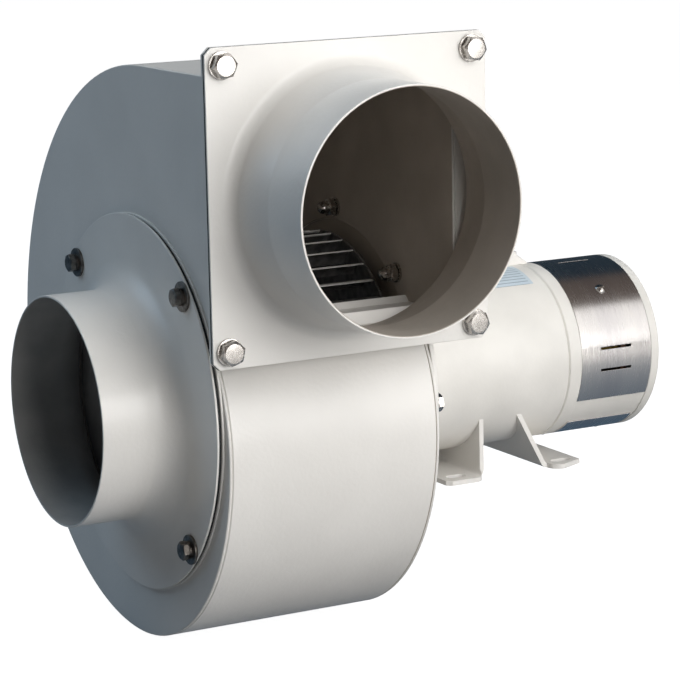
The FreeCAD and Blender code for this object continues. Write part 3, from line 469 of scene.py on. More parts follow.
def pieces_in_a_ring(name, pattern, count, circle_radius, way, place, first=45.0, loose=0.0):
    # Geometry Nodes tree: copies of a pattern on a circle, each turned with its place on it
    material = pattern.data.materials[0]
    tree = bpy.data.node_groups.new(name + "_ring", "GeometryNodeTree")
    sizes = [("Pattern", "NodeSocketObject", pattern), ("Count", "NodeSocketInt", count),
             ("Circle radius", "NodeSocketFloat", circle_radius / 1000),
             ("First angle", "NodeSocketFloat", math.radians(first)), ("Way", "NodeSocketVector", way),
             ("Place", "NodeSocketVector", place), ("Loose turn", "NodeSocketFloat", math.radians(loose)),
             ("Finish", "NodeSocketMaterial", material)]
    for label, kind, value in sizes:
        tree.interface.new_socket(label, in_out="INPUT", socket_type=kind)
    tree.interface.new_socket("Geometry", in_out="OUTPUT", socket_type="NodeSocketGeometry")
    given = add_node(tree, "NodeGroupInput").outputs
    ring = add_node(tree, "GeometryNodeMeshCircle",
                    {"Vertices": given["Count"], "Radius": given["Circle radius"]})
    index = add_node(tree, "GeometryNodeInputIndex").outputs[0]
    share = maths(tree, "DIVIDE", math.tau, given["Count"])
    angle = maths(tree, "MULTIPLY", index, share)
    slack = add_node(tree, "FunctionNodeRandomValue",
                     {2: 0.0, 3: given["Loose turn"], "Seed": 7}).outputs[1]
    whole = maths(tree, "ADD", angle, slack)
    turn = add_node(tree, "ShaderNodeCombineXYZ", {"Z": whole}).outputs[0]
    shape = add_node(tree, "GeometryNodeObjectInfo", {"Object": given["Pattern"]}).outputs["Geometry"]
    copies = add_node(tree, "GeometryNodeInstanceOnPoints",
                      {"Points": ring.outputs[0], "Instance": shape, "Rotation": turn}).outputs[0]
    start = add_node(tree, "ShaderNodeCombineXYZ", {"Z": given["First angle"]}).outputs[0]
    started = add_node(tree, "GeometryNodeTransform", {"Geometry": copies, "Rotation": start}).outputs[0]
    placed = add_node(tree, "GeometryNodeTransform",
                      {"Geometry": started, "Rotation": given["Way"],
                       "Translation": given["Place"]}).outputs[0]
    solid = add_node(tree, "GeometryNodeRealizeInstances", {"Geometry": placed}).outputs[0]
    coated = add_node(tree, "GeometryNodeSetMaterial",
                      {"Geometry": solid, "Material": given["Finish"]}).outputs[0]
    add_node(tree, "NodeGroupOutput", {"Geometry": coated})
    host = bpy.data.objects.new(name, bpy.data.meshes.new(name))
    bpy.context.scene.collection.objects.link(host)
    nodes = host.modifiers.new("ring", "NODES")
    nodes.node_group = tree
    named = {item.name: item.identifier for item in tree.interface.items_tree if item.in_out == "INPUT"}
    for label, kind, value in sizes:
        nodes[named[label]] = value
    host.update_tag()
    depsgraph = bpy.context.evaluated_depsgraph_get()
    mesh = bpy.data.meshes.new_from_object(host.evaluated_get(depsgraph))
    host.modifiers.clear()
    host.data = mesh
    mesh.name = name
    bpy.data.objects.remove(pattern)
    return host


quarter_turn = math.pi / 2
outwards, inwards = (quarter_turn, 0.0, 0.0), (-quarter_turn, 0.0, 0.0)
to_inlet, to_motor = (0.0, -quarter_turn, 0.0), (0.0, quarter_turn, 0.0)
# Stainless steel, cold-headed and barrel-polished: bright, a little warm, with faint scuffs
stainless = finish("barrel_polished_stainless", "#C4C0BB", "#B2AEA9", 5, (0.2, 0.3), metallic=1.0,
                   grain_mm=1.4, relief_mm=0.004)
bolt_inset = 10.0
outlet_bolt_circle = (outlet_half - bolt_inset) * math.sqrt(2)
bolt_stack = collar_sheet + gasket_sheet + frame_sheet + washer_sheet
past_frame = 8.3
outlet_bolts = pieces_in_a_ring(
    "outlet_hexagon_bolts",
    fastener_pattern(hex_corners(m8_flats, m8_head, m8_shank, bolt_stack + past_frame), stainless), 4,
    outlet_bolt_circle, outwards, fan_point(outlet_middle, outlet_face - washer_sheet, outlet_height),
    loose=50.0)
outlet_washers = pieces_in_a_ring(
    "outlet_plain_washers",
    fastener_pattern(washer_corners(m8_washer_radius, washer_sheet, m8_washer_hole), stainless), 4,
    outlet_bolt_circle, outwards, fan_point(outlet_middle, outlet_face, outlet_height))


def nut_corners(flats, height, bore):
    crown = flats / 2 - 0.2

    def at(angle):
        reach = hex_reach(flats, angle)
        slope = (reach - crown) * 0.6
        return [(0, bore + 0.4, 0), (0, crown, 0), (slope, reach, 0), (height - slope, reach, 0),
                (height, crown, 0), (height, bore + 0.4, 0), (height - 0.6, bore, 0), (0.6, bore, 0)]
    return at


outlet_nuts = pieces_in_a_ring(
    "outlet_hexagon_nuts", fastener_pattern(nut_corners(m8_flats, m8_head + 1, m8_shank), stainless), 4,
    outlet_bolt_circle, inwards, fan_point(outlet_middle, duct_end + frame_sheet, outlet_height),
    loose=40.0)
for fastener, node in ((outlet_bolts, "outlet_bolts"), (outlet_washers, "outlet_washers"),
                       (outlet_nuts, "outlet_nuts")):
    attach(fastener, "frame")
    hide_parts(node)

# Motor plate
# A 3 mm round plate that carries the motor and closes the large hole of the motor-side sheet.
# Laser-cut, powder-coated, held by eight M6 bolts with cap nuts inside the casing.
motor_plate_radius = 115.0
motor_face = 83.0
plate_bolt_circle = 107.0
plate_bore = 14.0
plate_rounding = 0.8
m6_flats = 10.0
m6_head = 4.0
m6_shank = 3.0
plate_bolt_length = 12.0
shaft_steps = 160


def spun_about_shaft(name, steps, material, *corners):
    # Corners are (x, radius, fillet)
    angles = [math.tau * i / steps for i in range(steps)]
    return make_piece(name, *turned(ring_corners(*corners), about_shaft, angles), material)


motor_plate = spun_about_shaft(
    "motor_plate_disc", shaft_steps, powder_coat, (casing_right, plate_bore, 0.3),
    (motor_face, plate_bore, 0.3), (motor_face, motor_plate_radius, plate_rounding),
    (casing_right, motor_plate_radius, plate_rounding))
shade_inside_faces(motor_plate, inside_shade_coat, lambda face: face.normal.x < -0.9)
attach(motor_plate, "frame")
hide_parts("motor_plate")
plate_bolts = pieces_in_a_ring(
    "motor_plate_hexagon_bolts",
    fastener_pattern(hex_corners(m6_flats, m6_head, m6_shank, plate_bolt_length), stainless), 8,
    plate_bolt_circle, to_motor, fan_point(motor_face + washer_sheet, 0, 0), first=90.0, loose=50.0)
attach(plate_bolts, "frame")
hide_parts("motor_plate_bolts")


def cap_nut_corners(angle):
    reach = hex_reach(m6_flats, angle)
    crown, neck = m6_flats / 2 - 0.5, 4.0
    dome_start, dome_height = 7.2, 3.8
    dome_turn = [0.0, 0.3, 0.6, 0.9, 1.15, 1.35, 1.57]
    dome = [(dome_start + dome_height * math.sin(t), neck * math.cos(t), 0) for t in dome_turn]
    hexagon = [(0, crown, 0), (0.4, reach, 0), (4.2, reach, 0), (4.8, crown, 0)]
    return [(0, 0.0, 0)] + hexagon + [(4.9, neck, 0)] + dome


cap_nuts = pieces_in_a_ring(
    "motor_plate_domed_nuts", fastener_pattern(cap_nut_corners, stainless), 8, plate_bolt_circle, to_inlet,
    fan_point(casing_right - sheet - washer_sheet, 0, 0), first=90.0, loose=40.0)
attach(cap_nuts, "frame")
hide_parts("motor_plate_cap_nuts")
dress(stainless, "motor_plate_washers", "bell_screws")

# Drive-end bell
# Cast aluminium end bell that centres the motor tube and holds the front bearing; painted with
# the motor, a little rougher than the sheet.
motor_radius = 56.6
bell_joint = 97.0
# Painted casting: the same white with the sand-cast skin showing through
painted_casting = finish("painted_sand_casting", "#E8E5DF", "#DEDBD5", 40, (0.32, 0.42), grain_mm=1.8,
                         relief_mm=0.05)
dress(painted_casting, "drive_end_bell")

# Motor tube
# The motor's yoke: a drawn steel tube, turned true at its ends, spigoted on both bells and
# painted. The field magnets are bonded to its inside.
yoke_end = 215.0
yoke_wall = 5.1
motor_tube = spun_about_shaft(
    "motor_yoke_tube", shaft_steps, painted_casting, (bell_joint, motor_radius, 0.5),
    (yoke_end, motor_radius, 1.6), (yoke_end, motor_radius - yoke_wall, 0.2),
    (bell_joint, motor_radius - yoke_wall, 0.2))
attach(motor_tube, "frame")
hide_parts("motor_tube")
# Sintered ferrite: dense charcoal grey with a ground, slightly chalky face
dress(finish("ground_ferrite", "#3A3A3D", "#2C2C2F", 5, (0.55, 0.7), grain_mm=0.7, relief_mm=0.02),
      "field_magnets")

# Armature
# Ground shaft, laminated core, varnished copper coils and the commutator, pressed together and
# turned as one. Hidden inside the tube, with the shaft's nose in the wheel's hub.
machined_steel = finish("ground_shaft_steel", "#B5B6B8", "#9C9EA1", 15, (0.2, 0.32), metallic=1.0,
                        grain_mm=0.6, relief_mm=0.005, stretch=(6.0, 1.0, 1.0))
dress(machined_steel, "armature_shaft", "shaft_key", "front_bearing_inner", "rear_bearing_inner",
      "front_bearing_balls", "rear_bearing_balls", "front_bearing_outer", "rear_bearing_outer")
# Punched electrical steel: dark blue-grey edges, stacked across the shaft
dress(finish("stacked_laminations", "#5A5E64", "#3F4247", 1.0, (0.4, 0.55), metallic=1.0, grain_mm=1.0,
             relief_mm=0.05, stretch=(1.0, 0.05, 0.05)), "armature_core")
# Varnished copper wire: amber over copper, wound across the core
dress(finish("varnished_copper_wire", "#B4683A", "#7A3F1F", 1.2, (0.25, 0.45), metallic=0.7, grain_mm=1.2,
             relief_mm=0.2, stretch=(0.2, 1.0, 1.0)), "armature_windings")
# Hard copper bars, skimmed and brown where the brushes run
dress(finish("skimmed_commutator_copper", "#B87A4E", "#8C5633", 2.0, (0.25, 0.4), metallic=1.0,
             grain_mm=0.5, relief_mm=0.01, stretch=(3.0, 1.0, 1.0)), "commutator")

# Rear bell
# Cast aluminium end bell with the brush windows, a recess that the covers lie in, and a rounded
# end ring. Turned where the tube meets it, painted white; two long bolts pull it on.
bell_end = 285.2
recess_start, recess_end = 224.3, 278.3
recess_radius = 55.8
brush_x = 251.0
bell_steps = 192
spigot_start, spigot_inner, spigot_outer = 209.0, 46.45, 51.45
groove_radius = 55.4
bell_inner, end_wall = 50.6, 275.2
bearing_mouth, bearing_back, bearing_seat, bearing_boss = 269.2, 280.2, 17.5, 22.45
shaft_pocket, pocket_radius = 282.2, 11.5
rear_bell = spun_about_shaft(
    "rear_bell_casting", bell_steps, painted_casting, (spigot_start, spigot_inner, 0),
    (spigot_start, spigot_outer, 0), (yoke_end, spigot_outer, 0), (yoke_end, groove_radius, 0.2),
    (yoke_end + 1.0, motor_radius, 0.5), (recess_start, motor_radius, 0.2),
    (recess_start, recess_radius, 0.1), (recess_end, recess_radius, 0.1), (recess_end, motor_radius, 0.5),
    (bell_end, motor_radius, 2.4), (bell_end, 0.0, 0), (shaft_pocket, 0.0, 0),
    (shaft_pocket, pocket_radius, 0), (bearing_back, pocket_radius, 0), (bearing_back, bearing_seat, 0),
    (bearing_mouth, bearing_seat, 0), (bearing_mouth, bearing_boss, 0), (end_wall, bearing_boss, 0),
    (end_wall, bell_inner, 1.5), (yoke_end, bell_inner, 0))


def cut_away(piece, boxes, rods):
    # Cuts windows (x, y, z ranges about the shaft, turned by an angle) and round bores along X
    cutter = bmesh.new()
    for (x0, x1, y0, y1, z0, z1), angle in boxes:
        corner = bmesh.ops.create_cube(cutter, size=1.0)["verts"]
        size = Matrix.Diagonal((x1 - x0, y1 - y0, z1 - z0, 1))
        centre = Matrix.Translation(((x0 + x1) / 2, (y0 + y1) / 2, (z0 + z1) / 2))
        bmesh.ops.transform(cutter, verts=corner, matrix=Matrix.Rotation(angle, 4, "X") @ centre @ size)
    for x0, x1, y, z, radius in rods:
        rod = bmesh.ops.create_cone(cutter, segments=32, cap_ends=True, radius1=radius, radius2=radius,
                                    depth=x1 - x0)["verts"]
        place = Matrix.Translation(((x0 + x1) / 2, y, z)) @ Matrix.Rotation(quarter_turn, 4, "Y")
        bmesh.ops.transform(cutter, verts=rod, matrix=place)
    for vertex in cutter.verts:
        vertex.co = fan_point(*vertex.co)
    mesh = bpy.data.meshes.new("cutter")
    cutter.to_mesh(mesh)
    cutter.free()
    tool = bpy.data.objects.new("cutter", mesh)
    bpy.context.scene.collection.objects.link(tool)
    cut = piece.modifiers.new("cut", "BOOLEAN")
    cut.object = tool
    cut.solver = "EXACT"
    depsgraph = bpy.context.evaluated_depsgraph_get()
    done = bpy.data.meshes.new_from_object(piece.evaluated_get(depsgraph))
    piece.modifiers.clear()
    piece.data = done
    done.set_sharp_from_angle(angle=math.radians(30.0))
    for face in done.polygons:
        face.use_smooth = abs(face.normal.x) < 0.999
    even_shading(piece)
    bpy.data.objects.remove(tool)


window_half_length, window_half_width = 17, 13
window_from, window_to = 24, 60
window = (brush_x - window_half_length, brush_x + window_half_length, -window_half_width, window_half_width,
          window_from, window_to)
through_bolt_circle = 47.2
counterbore_floor, counterbore_radius, past_bell = 280.2, 5.0, 290.0
bolt_spots = [(through_bolt_circle * math.cos(math.radians(a)),
               through_bolt_circle * math.sin(math.radians(a))) for a in (45, 225)]
cut_away(rear_bell, [(window, a * quarter_turn) for a in range(4)],
         [(counterbore_floor, past_bell, y, z, counterbore_radius) for y, z in bolt_spots])
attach(rear_bell, "frame")
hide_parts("rear_bell")
dress(stainless, "through_bolts")

# Brush gear
# A ring of paper-filled phenolic, warm brown with faint mottling, with four brass boxes; carbon
# brushes slide in them, pushed on to the commutator by rolled strip springs.
dress(finish("paper_phenolic", "#5B3A22", "#452A18", 6, (0.4, 0.5), grain_mm=1.0, relief_mm=0.01),
      "brush_ring")
# Folded brass strip, tarnished in patches
dress(finish("folded_brass_strip", "#B79A54", "#8F743A", 8, (0.25, 0.4), metallic=1.0, grain_mm=1.0),
      "brush_boxes")
# Pressed electrographite: soft black with a faint grey sheen
dress(finish("electrographite", "#2A2A2B", "#1D1D1E", 3, (0.45, 0.6), grain_mm=0.5, relief_mm=0.01),
      "brushes")
dress(finish("blued_spring_strip", "#8E9196", "#6D7178", 6, (0.25, 0.4), metallic=1.0, grain_mm=0.8),
      "brush_springs")

# Brush covers
# The main cover is a 0.8 mm band of polished stainless strip rolled round the bell, with pairs
# of vent slots over the windows; a shorter strip closes the underside.
cover_sheet = 0.8
slot_length, slot_width, slot_spread = 23.4, 1.7, 7.2
edge_share = 0.22
band_ends, band_turn = (224.5, 278.1), (-28.5, 208.5)
lower_ends, lower_turn = (226.3, 276.3), (-130.0, -50.0)


def rolled_strip(name, x_range, turn_range, slots, material, radius=motor_radius, thickness=cover_sheet):
    # A curved sheet laid out in cells so that the slots are left open, then given its thickness
    half = math.degrees(slot_width / 2 / radius)
    turns = set(turn_range) | {t + s * half for t in slots for s in (-1, 1)}
    start, sweep = turn_range[0], turn_range[1] - turn_range[0]
    step, clear_of_slot = 2.5, 1.5
    steps = int(sweep / step)
    evenly = [start + sweep * i / steps for i in range(steps + 1)]
    turns |= {turn for turn in evenly if all(abs(turn - t) > clear_of_slot for t in slots)}
    turns = sorted(turns)
    slot_ends = (brush_x - slot_length / 2, brush_x + slot_length / 2) if slots else ()
    xs = sorted({*x_range, *slot_ends})
    points = [(x, radius * math.cos(math.radians(t)), radius * math.sin(math.radians(t)))
              for t in turns for x in xs]
    n = len(xs)
    faces = []
    for i, (a, b) in enumerate(zip(turns, turns[1:])):
        beside_slot = any(abs((a + b) / 2 - t) < half for t in slots)
        for j, (x0, x1) in enumerate(zip(xs, xs[1:])):
            if not (beside_slot and abs((x0 + x1) / 2 - brush_x) < slot_length / 2):
                faces.append((i * n + j, i * n + j + 1, (i + 1) * n + j + 1, (i + 1) * n + j))
    strip = close_piece(name, mesh_about_shaft(name, points, faces), material)
    first_face = strip.data.polygons[0]
    if looks_at_shaft(first_face):
        strip.data.flip_normals()
    thick = strip.modifiers.new("thickness", "SOLIDIFY")
    thick.thickness = thickness / 1000
    thick.offset = -1.0
    edge = strip.modifiers.new("deburred edge", "BEVEL")
    edge.width = thickness * edge_share / 1000
    edge.segments = 2
    edge.limit_method = "ANGLE"
    edge.angle_limit = math.radians(50)
    even_shading(strip)
    return strip


# Polished 304 strip: mirror-like along the shaft, with hair-fine lines from rolling round it
polished_strip = finish("polished_stainless_strip", "#D8D5D2", "#C9C6C6", 30, (0.2, 0.29), metallic=1.0,
                        grain_mm=0.9, relief_mm=0.003, stretch=(1.0, 0.06, 0.06))
slots_at = [a + s for a in (0, 90, 180) for s in (-slot_spread, slot_spread)]
cover_band = rolled_strip("brush_cover_strip", band_ends, band_turn, slots_at, polished_strip)
lower_cover = rolled_strip("brush_cover_lower_strip", lower_ends, lower_turn, [], polished_strip)
for cover, node in ((cover_band, "brush_cover_band"), (lower_cover, "brush_cover_lower")):
    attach(cover, "frame")
    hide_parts(node)
dress(stainless, "band_screw", "lower_cover_screws")

# Rating plate
# A thin foil plate glued on the yoke, bare but for fine lines ruled along the shaft. It has no
# CAD node.
plate_start, plate_end = 176.0, 206.0
plate_turn = (93.0, 120.0)
foil, foil_top = 0.2, 0.25
rule_half_length, rule_pitch, rule_share = 12.5, 3.2, 0.2


def ruled_foil():
    # Pale blue anodised foil with thin grey lines ruled along the shaft
    material = finish("ruled_blue_foil", "#CAD6DE", "#C3D0D9", 15, (0.35, 0.45), grain_mm=0.8)
    tree = material.node_tree
    place = add_node(tree, "ShaderNodeTexCoord").outputs["Object"]
    place = add_node(tree, "ShaderNodeSeparateXYZ", {0: place}).outputs
    above = maths(tree, "SUBTRACT", place["Z"], fan_point(0, 0, 0)[2])
    angle = maths(tree, "ARCTAN2", above, place["Y"])
    lines = maths(tree, "MULTIPLY", angle, motor_radius / rule_pitch)
    part = maths(tree, "FRACT", lines)
    on_rule = maths(tree, "LESS_THAN", part, rule_share)
    middle = fan_point((plate_start + plate_end) / 2, 0, 0)[0]
    offset = maths(tree, "SUBTRACT", place["X"], middle)
    away = maths(tree, "ABSOLUTE", offset)
    within = maths(tree, "LESS_THAN", away, rule_half_length / 1000)
    ruled = maths(tree, "MULTIPLY", on_rule, within)
    surface = next(node for node in tree.nodes if node.type == "BSDF_PRINCIPLED")
    bare = surface.inputs["Base Color"].links[0].from_socket
    colour = blend(tree, ruled, bare, linear("#7F919F"))
    tree.links.new(colour, surface.inputs["Base Color"])
    return material


rating_plate = rolled_strip("bare_rating_plate", (plate_start, plate_end), plate_turn, [], ruled_foil(),
                            motor_radius + foil_top, foil)
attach(rating_plate, "frame")

# Terminal box
# A small cast box on top of the yoke with its lid and screws, coated with the motor; the supply
# cable would enter through the nylon gland on its far side.
dress(powder_coat, "terminal_box", "terminal_lid")
# Glass-filled nylon: matt mid grey with a fine spark texture
dress(finish("spark_textured_nylon", "#6F7276", "#66696D", 12, (0.5, 0.62), grain_mm=0.9, relief_mm=0.03),
      "cable_gland")
dress(finish("ivory_melamine", "#D8D2BC", "#CBC4AC", 6, (0.35, 0.45), grain_mm=1.0), "terminal_strip")
dress(stainless, "lid_screws")

# Feet
# Two 3 mm sheets bent in a brake, welded to the tube and painted with it; their slotted holes
# point along the shaft.
dress(powder_coat, "front_foot", "rear_foot")

# Impeller
# Forty forward-curved blades pressed from 0.8 mm galvanised strip, tabbed into a back plate and a
# front ring; the plate is riveted to a turned aluminium hub that is keyed to the shaft.
wheel_radius = 92.5
wheel_back = 70.0
blade_length = 93.5
blade_root = 79.0
blade_curve = 14.0
blade_turn = 66.0
blade_count = 40
blade_half_sheet = 0.4
wheel_sheet, wheel_bore, ring_inner = 1.5, 7.3, 78.0
# Hot-dip galvanised sheet, dulled by air and dust: grey with darker spangles some 5 mm across
galvanised = finish("dulled_galvanised_sheet", "#7B7976", "#605E5B", 5, (0.4, 0.58), metallic=0.5,
                    grain_mm=2.0, relief_mm=0.02)
# The same zinc, much lighter: a painted highlight along the blades' outer edges
blade_edge_highlight = finish("painted_highlight_zinc_edge", "#E4E2DE", "#CFCCC8", 4, (0.35, 0.5), metallic=0.2, grain_mm=1.5)


def blade_pattern():
    points, steps = [], 8
    for along in (wheel_back - blade_length, wheel_back):
        for side in (-blade_half_sheet, blade_half_sheet):
            for i in range(steps + 1):
                t = math.radians(blade_turn) * i / steps
                r = blade_curve + side
                across, outward = r * math.cos(t) - blade_curve, blade_root + r * math.sin(t)
                points.append((across / 1000, outward / 1000, along / 1000))
    n = steps + 1
    faces = []
    for i in range(steps):
        faces += [(i, i + 1, n + i + 1, n + i), (2 * n + i, 3 * n + i, 3 * n + i + 1, 2 * n + i + 1),
                  (i, 2 * n + i, 2 * n + i + 1, i + 1), (n + i, n + i + 1, 3 * n + i + 1, 3 * n + i)]
    faces += [(0, n, 3 * n, 2 * n), (steps, 2 * n + steps, 3 * n + steps, n + steps)]
    return pattern_of(points, faces, galvanised)


blades = pieces_in_a_ring("impeller_curved_blades", blade_pattern(), blade_count, 0.0, to_motor,
                          fan_point(0, 0, 0), first=0.0)
blades.data.materials.append(blade_edge_highlight)
# On each blade the outer edge and one side of its last eighth get the painted highlight
faces_on_blade = len(blades.data.polygons) // blade_count
for number, face in enumerate(blades.data.polygons):
    on_blade = number % faces_on_blade
    face.material_index = int(on_blade >= faces_on_blade - 5 and on_blade != faces_on_blade - 2)
back_plate = spun_about_shaft(
    "impeller_back_disc", shaft_steps, galvanised, (wheel_back, wheel_bore, 0.2),
    (wheel_back + wheel_sheet, wheel_bore, 0.2), (wheel_back + wheel_sheet, wheel_radius, 0.5),
    (wheel_back, wheel_radius, 0.5))
wheel_front = wheel_back - blade_length
front_ring = spun_about_shaft(
    "impeller_rim_ring", shaft_steps, galvanised, (wheel_front - wheel_sheet, ring_inner, 0.5),
    (wheel_front, ring_inner, 0.2), (wheel_front, wheel_radius, 0.2),
    (wheel_front - wheel_sheet, wheel_radius, 0.5))
for wheel_piece, node in ((blades, "impeller_blades"), (back_plate, "impeller_back_plate"),
                          (front_ring, "impeller_front_ring")):
    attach(wheel_piece, "rotor")
    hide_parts(node)
# Turned aluminium: pale grey with fine rings left by the tool
turned_aluminium = finish("turned_aluminium", "#C9CACB", "#AFB1B3", 10, (0.25, 0.4), metallic=1.0,
                          grain_mm=0.7, relief_mm=0.01, stretch=(5.0, 1.0, 1.0))
dress(turned_aluminium, "impeller_hub", "hub_rivets")
dress(stainless, "hub_end_washer", "hub_end_screw")

# Inlet nozzle and gasket
# A ring spun into a bell mouth that leads the air into the wheel's eye, and the rubber gasket
# between it and the collar's plate.
inlet_plate_radius = 115.0
inlet_flare = 18.0
ring_face = -61.5
nozzle_radius = 69.0
nozzle_end = -20.0
seal_face, seal_outer = -63.5, 113.5
fine_steps = 240
# A greyer copy of the inside coat: painted shade inside the inlet nozzle and collar, where little light
# enters
inlet_shade_coat = finish("inlet_inside_painted_shade", "#B3B1AE", "#A1A09E", 30, (0.5, 0.65), grain_mm=2.5,
                    relief_mm=0.05, specular=0.3)
nozzle = spun_about_shaft(
    "inlet_nozzle_spun", fine_steps, powder_coat, (ring_face, inlet_plate_radius, 0.5),
    (ring_face, nozzle_radius, inlet_flare), (nozzle_end, nozzle_radius, 0.5),
    (nozzle_end, nozzle_radius + collar_sheet, 0.5),
    (ring_face + collar_sheet, nozzle_radius + collar_sheet, inlet_flare - collar_sheet),
    (ring_face + collar_sheet, inlet_plate_radius, 0.5))
shade_inside_faces(nozzle, inlet_shade_coat, looks_at_shaft)
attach(nozzle, "frame")
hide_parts("inlet_nozzle")
inlet_seal = spun_about_shaft(
    "inlet_gasket_ring", fine_steps, rubber, (seal_face, inlet_hole, 0), (ring_face, inlet_hole, 0),
    (ring_face, seal_outer, 0), (seal_face, seal_outer, 0))
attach(inlet_seal, "frame")
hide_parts("inlet_gasket")

# Inlet collar
# A round plate spun outwards through a flare into the collar that the inlet hose clamps on.
# One 1.5 mm sheet, powder-coated like the rest.
inlet_face = -65.0
inlet_rim = -116.0
inner_radius = collar_radius - collar_sheet
inlet_spinning = spun_about_shaft(
    "inlet_collar_spun", fine_steps, powder_coat, (inlet_face, inlet_plate_radius, 0.5),
    (inlet_face, collar_radius, inlet_flare), (inlet_rim, collar_radius, 0.5),
    (inlet_rim, inner_radius, 0.5), (inlet_face + collar_sheet, inner_radius, inlet_flare + collar_sheet),
    (inlet_face + collar_sheet, inlet_plate_radius, 0.5))
shade_inside_faces(inlet_spinning, inlet_shade_coat, looks_at_shaft)
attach(inlet_spinning, "frame")
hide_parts("inlet_collar")

# Inlet fasteners
# Four M6 hexagon bolts, each over a split spring washer and a wide penny washer, with nuts
# inside the casing.
penny_face = inlet_face - washer_sheet
penny_radius, penny_hole = 9.0, 3.3
inlet_bolt_length = 16.0
# The same stainless steel, darkened: painted shade on the fasteners of the shaded inlet side
shaded_stainless = finish("stainless_painted_shade", "#8A857F", "#5F5A55", 4, (0.3, 0.45), metallic=1.0,
                        grain_mm=1.4, relief_mm=0.01)
inlet_pennies = pieces_in_a_ring(
    "inlet_penny_washers",
    fastener_pattern(washer_corners(penny_radius, washer_sheet, penny_hole), shaded_stainless), 4,
    plate_bolt_circle, to_inlet, fan_point(inlet_face, 0, 0))


def split_washer():
    points, faces = [], []
    bore, rim, height = 3.3, 5.4, 1.6
    section = [(bore, 0.0), (rim, 0.0), (rim, height), (bore, height)]
    steps, slit = 32, 0.02
    for i in range(steps + 1):
        a = math.tau * (slit + (1 - 2 * slit) * i / steps)
        points += [(r * math.cos(a) / 1000, r * math.sin(a) / 1000, h / 1000) for r, h in section]
    for i in range(steps):
        faces += [(4 * i + j, 4 * i + (j + 1) % 4, 4 * i + 4 + (j + 1) % 4, 4 * i + 4 + j)
                  for j in range(4)]
    faces += [(0, 1, 2, 3), tuple(4 * steps + j for j in range(4))]
    return pattern_of(points, faces, shaded_stainless)


inlet_springs = pieces_in_a_ring("inlet_split_washers", split_washer(), 4, plate_bolt_circle, to_inlet,
                                 fan_point(penny_face, 0, 0), loose=180.0)
inlet_bolts = pieces_in_a_ring(
    "inlet_hexagon_bolts",
    fastener_pattern(hex_corners(m6_flats, m6_head, m6_shank, inlet_bolt_length), shaded_stainless), 4,
    plate_bolt_circle, to_inlet, fan_point(penny_face - washer_sheet, 0, 0), loose=50.0)
inlet_nuts = pieces_in_a_ring(
    "inlet_hexagon_nuts", fastener_pattern(nut_corners(m6_flats, m6_head + 1, m6_shank), stainless), 4,
    plate_bolt_circle, to_motor, fan_point(casing_left + sheet, 0, 0), loose=50.0)
for fastener, node in ((inlet_pennies, "inlet_washers"), (inlet_springs, "inlet_spring_washers"),
                       (inlet_bolts, "inlet_bolts"), (inlet_nuts, "inlet_nuts")):
    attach(fastener, "frame")
    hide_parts(node)

# Studio
# A pale floor just under the scroll. Soft lamps in front, low and higher up, one overhead and a
# weak cool one behind on the left. Polished metal sees a dark room and a panel on the right.
floor_level = -0.0808
floor_mesh = bpy.data.meshes.new("studio_floor")
floor_corners = [(-6, -6), (6, -6), (6, 12), (-6, 12)]
floor_mesh.from_pydata([(x, y, floor_level) for x, y in floor_corners], [], [(0, 1, 2, 3)])
floor = bpy.data.objects.new("studio_floor", floor_mesh)
bpy.context.scene.collection.objects.link(floor)
floor_paper = bpy.data.materials.new("pale_paper")
floor_paper.use_nodes = True
tree = floor_paper.node_tree
tree.nodes.clear()
rays = add_node(tree, "ShaderNodeLightPath").outputs
paper = add_node(tree, "ShaderNodeBsdfDiffuse", {"Color": linear("#8F8F8F")}).outputs[0]
seen = maths(tree, "MULTIPLY", rays["Is Camera Ray"], 0.95)
glow = add_node(tree, "ShaderNodeEmission", {"Color": (1.0, 1.0, 1.0, 1.0), "Strength": seen}).outputs[0]
lit_paper = add_node(tree, "ShaderNodeAddShader", {0: paper, 1: glow}).outputs[0]
# To glossy rays the floor is a glow instead, pale in front and dark blue behind: a painted reflection for
# the polished metal
place = add_node(tree, "ShaderNodeTexCoord").outputs["Object"]
across = add_node(tree, "ShaderNodeSeparateXYZ", {0: place}).outputs["Y"]
nearness = add_node(tree, "ShaderNodeMapRange", {0: across, 1: -0.9, 2: 0.05}).outputs[0]
painted_floor_reflection = blend(tree, nearness, linear("#ECEAE8"), linear("#4E6173"))
reflection_glow = add_node(tree, "ShaderNodeEmission", {"Color": painted_floor_reflection, "Strength": 1.0}).outputs[0]
both = add_node(tree, "ShaderNodeMixShader",
                {0: rays["Is Glossy Ray"], 1: lit_paper, 2: reflection_glow}).outputs[0]
add_node(tree, "ShaderNodeOutputMaterial", {"Surface": both})
floor_mesh.materials.append(floor_paper)

world = bpy.data.worlds.new("studio")
bpy.context.scene.world = world
world.use_nodes = True
tree = world.node_tree
tree.nodes.clear()
way = add_node(tree, "ShaderNodeTexCoord").outputs["Generated"]
front = add_node(tree, "ShaderNodeVectorMath", {0: way, 1: (0.47, -0.88, 0.05)},
                 operation="DOT_PRODUCT").outputs["Value"]
room = add_node(tree, "ShaderNodeValToRGB", {"Fac": front})
ramp = room.color_ramp
ramp.elements[0].position, ramp.elements[0].color = 0.02, linear("#22313D")
ramp.elements[1].position, ramp.elements[1].color = 0.98, linear("#8C8784")
for position, colour in ((0.12, linear("#5A514D")), (0.6, linear("#675E59"))):
    ramp.elements.new(position).color = colour
behind = add_node(tree, "ShaderNodeVectorMath", {0: way, 1: (0.7, 0.7, 0.1)},
                  operation="DOT_PRODUCT").outputs["Value"]
fill = add_node(tree, "ShaderNodeMapRange", {0: behind, 1: 0.0, 2: 1.0, 3: 0.01, 4: 0.7}).outputs[0]
rays = add_node(tree, "ShaderNodeLightPath").outputs
lit = blend(tree, rays["Is Glossy Ray"], fill, room.outputs["Color"])
seen = blend(tree, rays["Is Camera Ray"], lit, (1.0, 1.0, 1.0, 1.0))
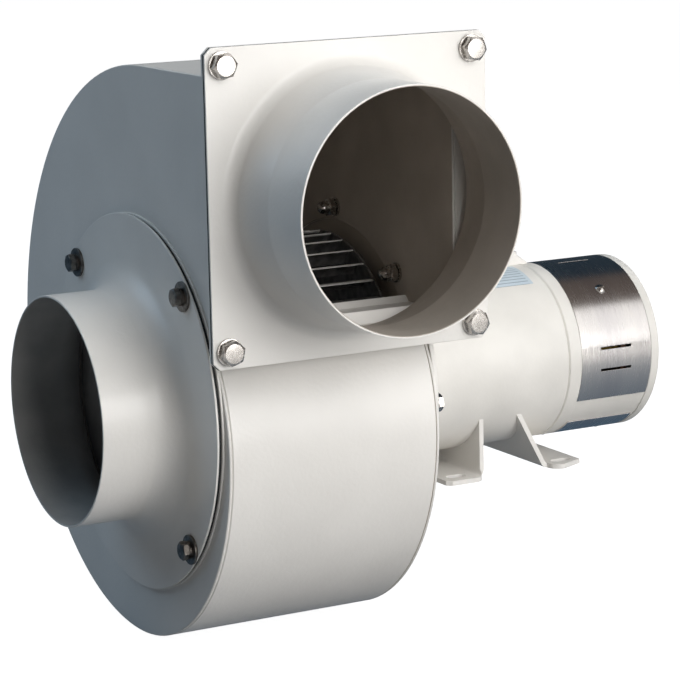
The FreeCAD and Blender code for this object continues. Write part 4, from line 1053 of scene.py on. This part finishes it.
sky = add_node(tree, "ShaderNodeBackground", {"Color": seen, "Strength": 1.0}).outputs[0]
add_node(tree, "ShaderNodeOutputWorld", {"Surface": sky})

lamp_distance = 2.3
lit_point = Vector((-0.1, 0.0, 0.1))


def soft_lamp(name, azimuth, elevation, size, power, tint=(1.0, 1.0, 1.0)):
    # A square soft box turned to the blower; azimuth counts to the right from the front
    a, e = math.radians(azimuth), math.radians(elevation)
    way = Vector((math.sin(a) * math.cos(e), -math.cos(a) * math.cos(e), math.sin(e)))
    lamp = bpy.data.lights.new(name, "AREA")
    lamp.size = size
    lamp.energy = power
    lamp.color = tint
    holder = bpy.data.objects.new(name, lamp)
    holder.location = lit_point + way * lamp_distance
    holder.rotation_euler = way.to_track_quat("Z", "Y").to_euler()
    holder.visible_camera = False
    bpy.context.scene.collection.objects.link(holder)
    return holder


soft_lamp("front_lamp", 13, 2, 1.3, 30.0, (1.0, 0.99, 0.98))
soft_lamp("reflecting_panel", 38, 24, 1.7, 10.5)
high_lamp = soft_lamp("high_front_lamp", 2, 27, 1.2, 21.0)
high_lamp.visible_glossy = False
top_lamp = soft_lamp("top_lamp", 0, 90, 1.6, 14.0, (0.95, 0.98, 1.0))
top_lamp.visible_glossy = False
soft_lamp("back_lamp", -125, 35, 1.4, 12.0, (0.55, 0.77, 1.0))

# Camera at the photograph's place, with its framing
lens = bpy.data.cameras.new("camera")
lens.sensor_width = 36.0
lens.lens = 146.36
lens.shift_x = -0.0015
lens.shift_y = -0.0018
lens.clip_end = 50.0
camera = bpy.data.objects.new("camera", lens)
camera_place = (-0.9169, -1.5023, 0.4215)
to_right = (0.87524, -0.48323, -0.02125)
upwards = (0.11002, 0.15610, 0.98160)
backwards = (-0.47102, -0.86147, 0.18978)
turn = Matrix((to_right, upwards, backwards)).transposed().to_4x4()
camera.matrix_world = Matrix.Translation(camera_place) @ turn
bpy.context.scene.collection.objects.link(camera)
bpy.context.scene.camera = camera
bpy.context.scene.view_settings.view_transform = "Standard"
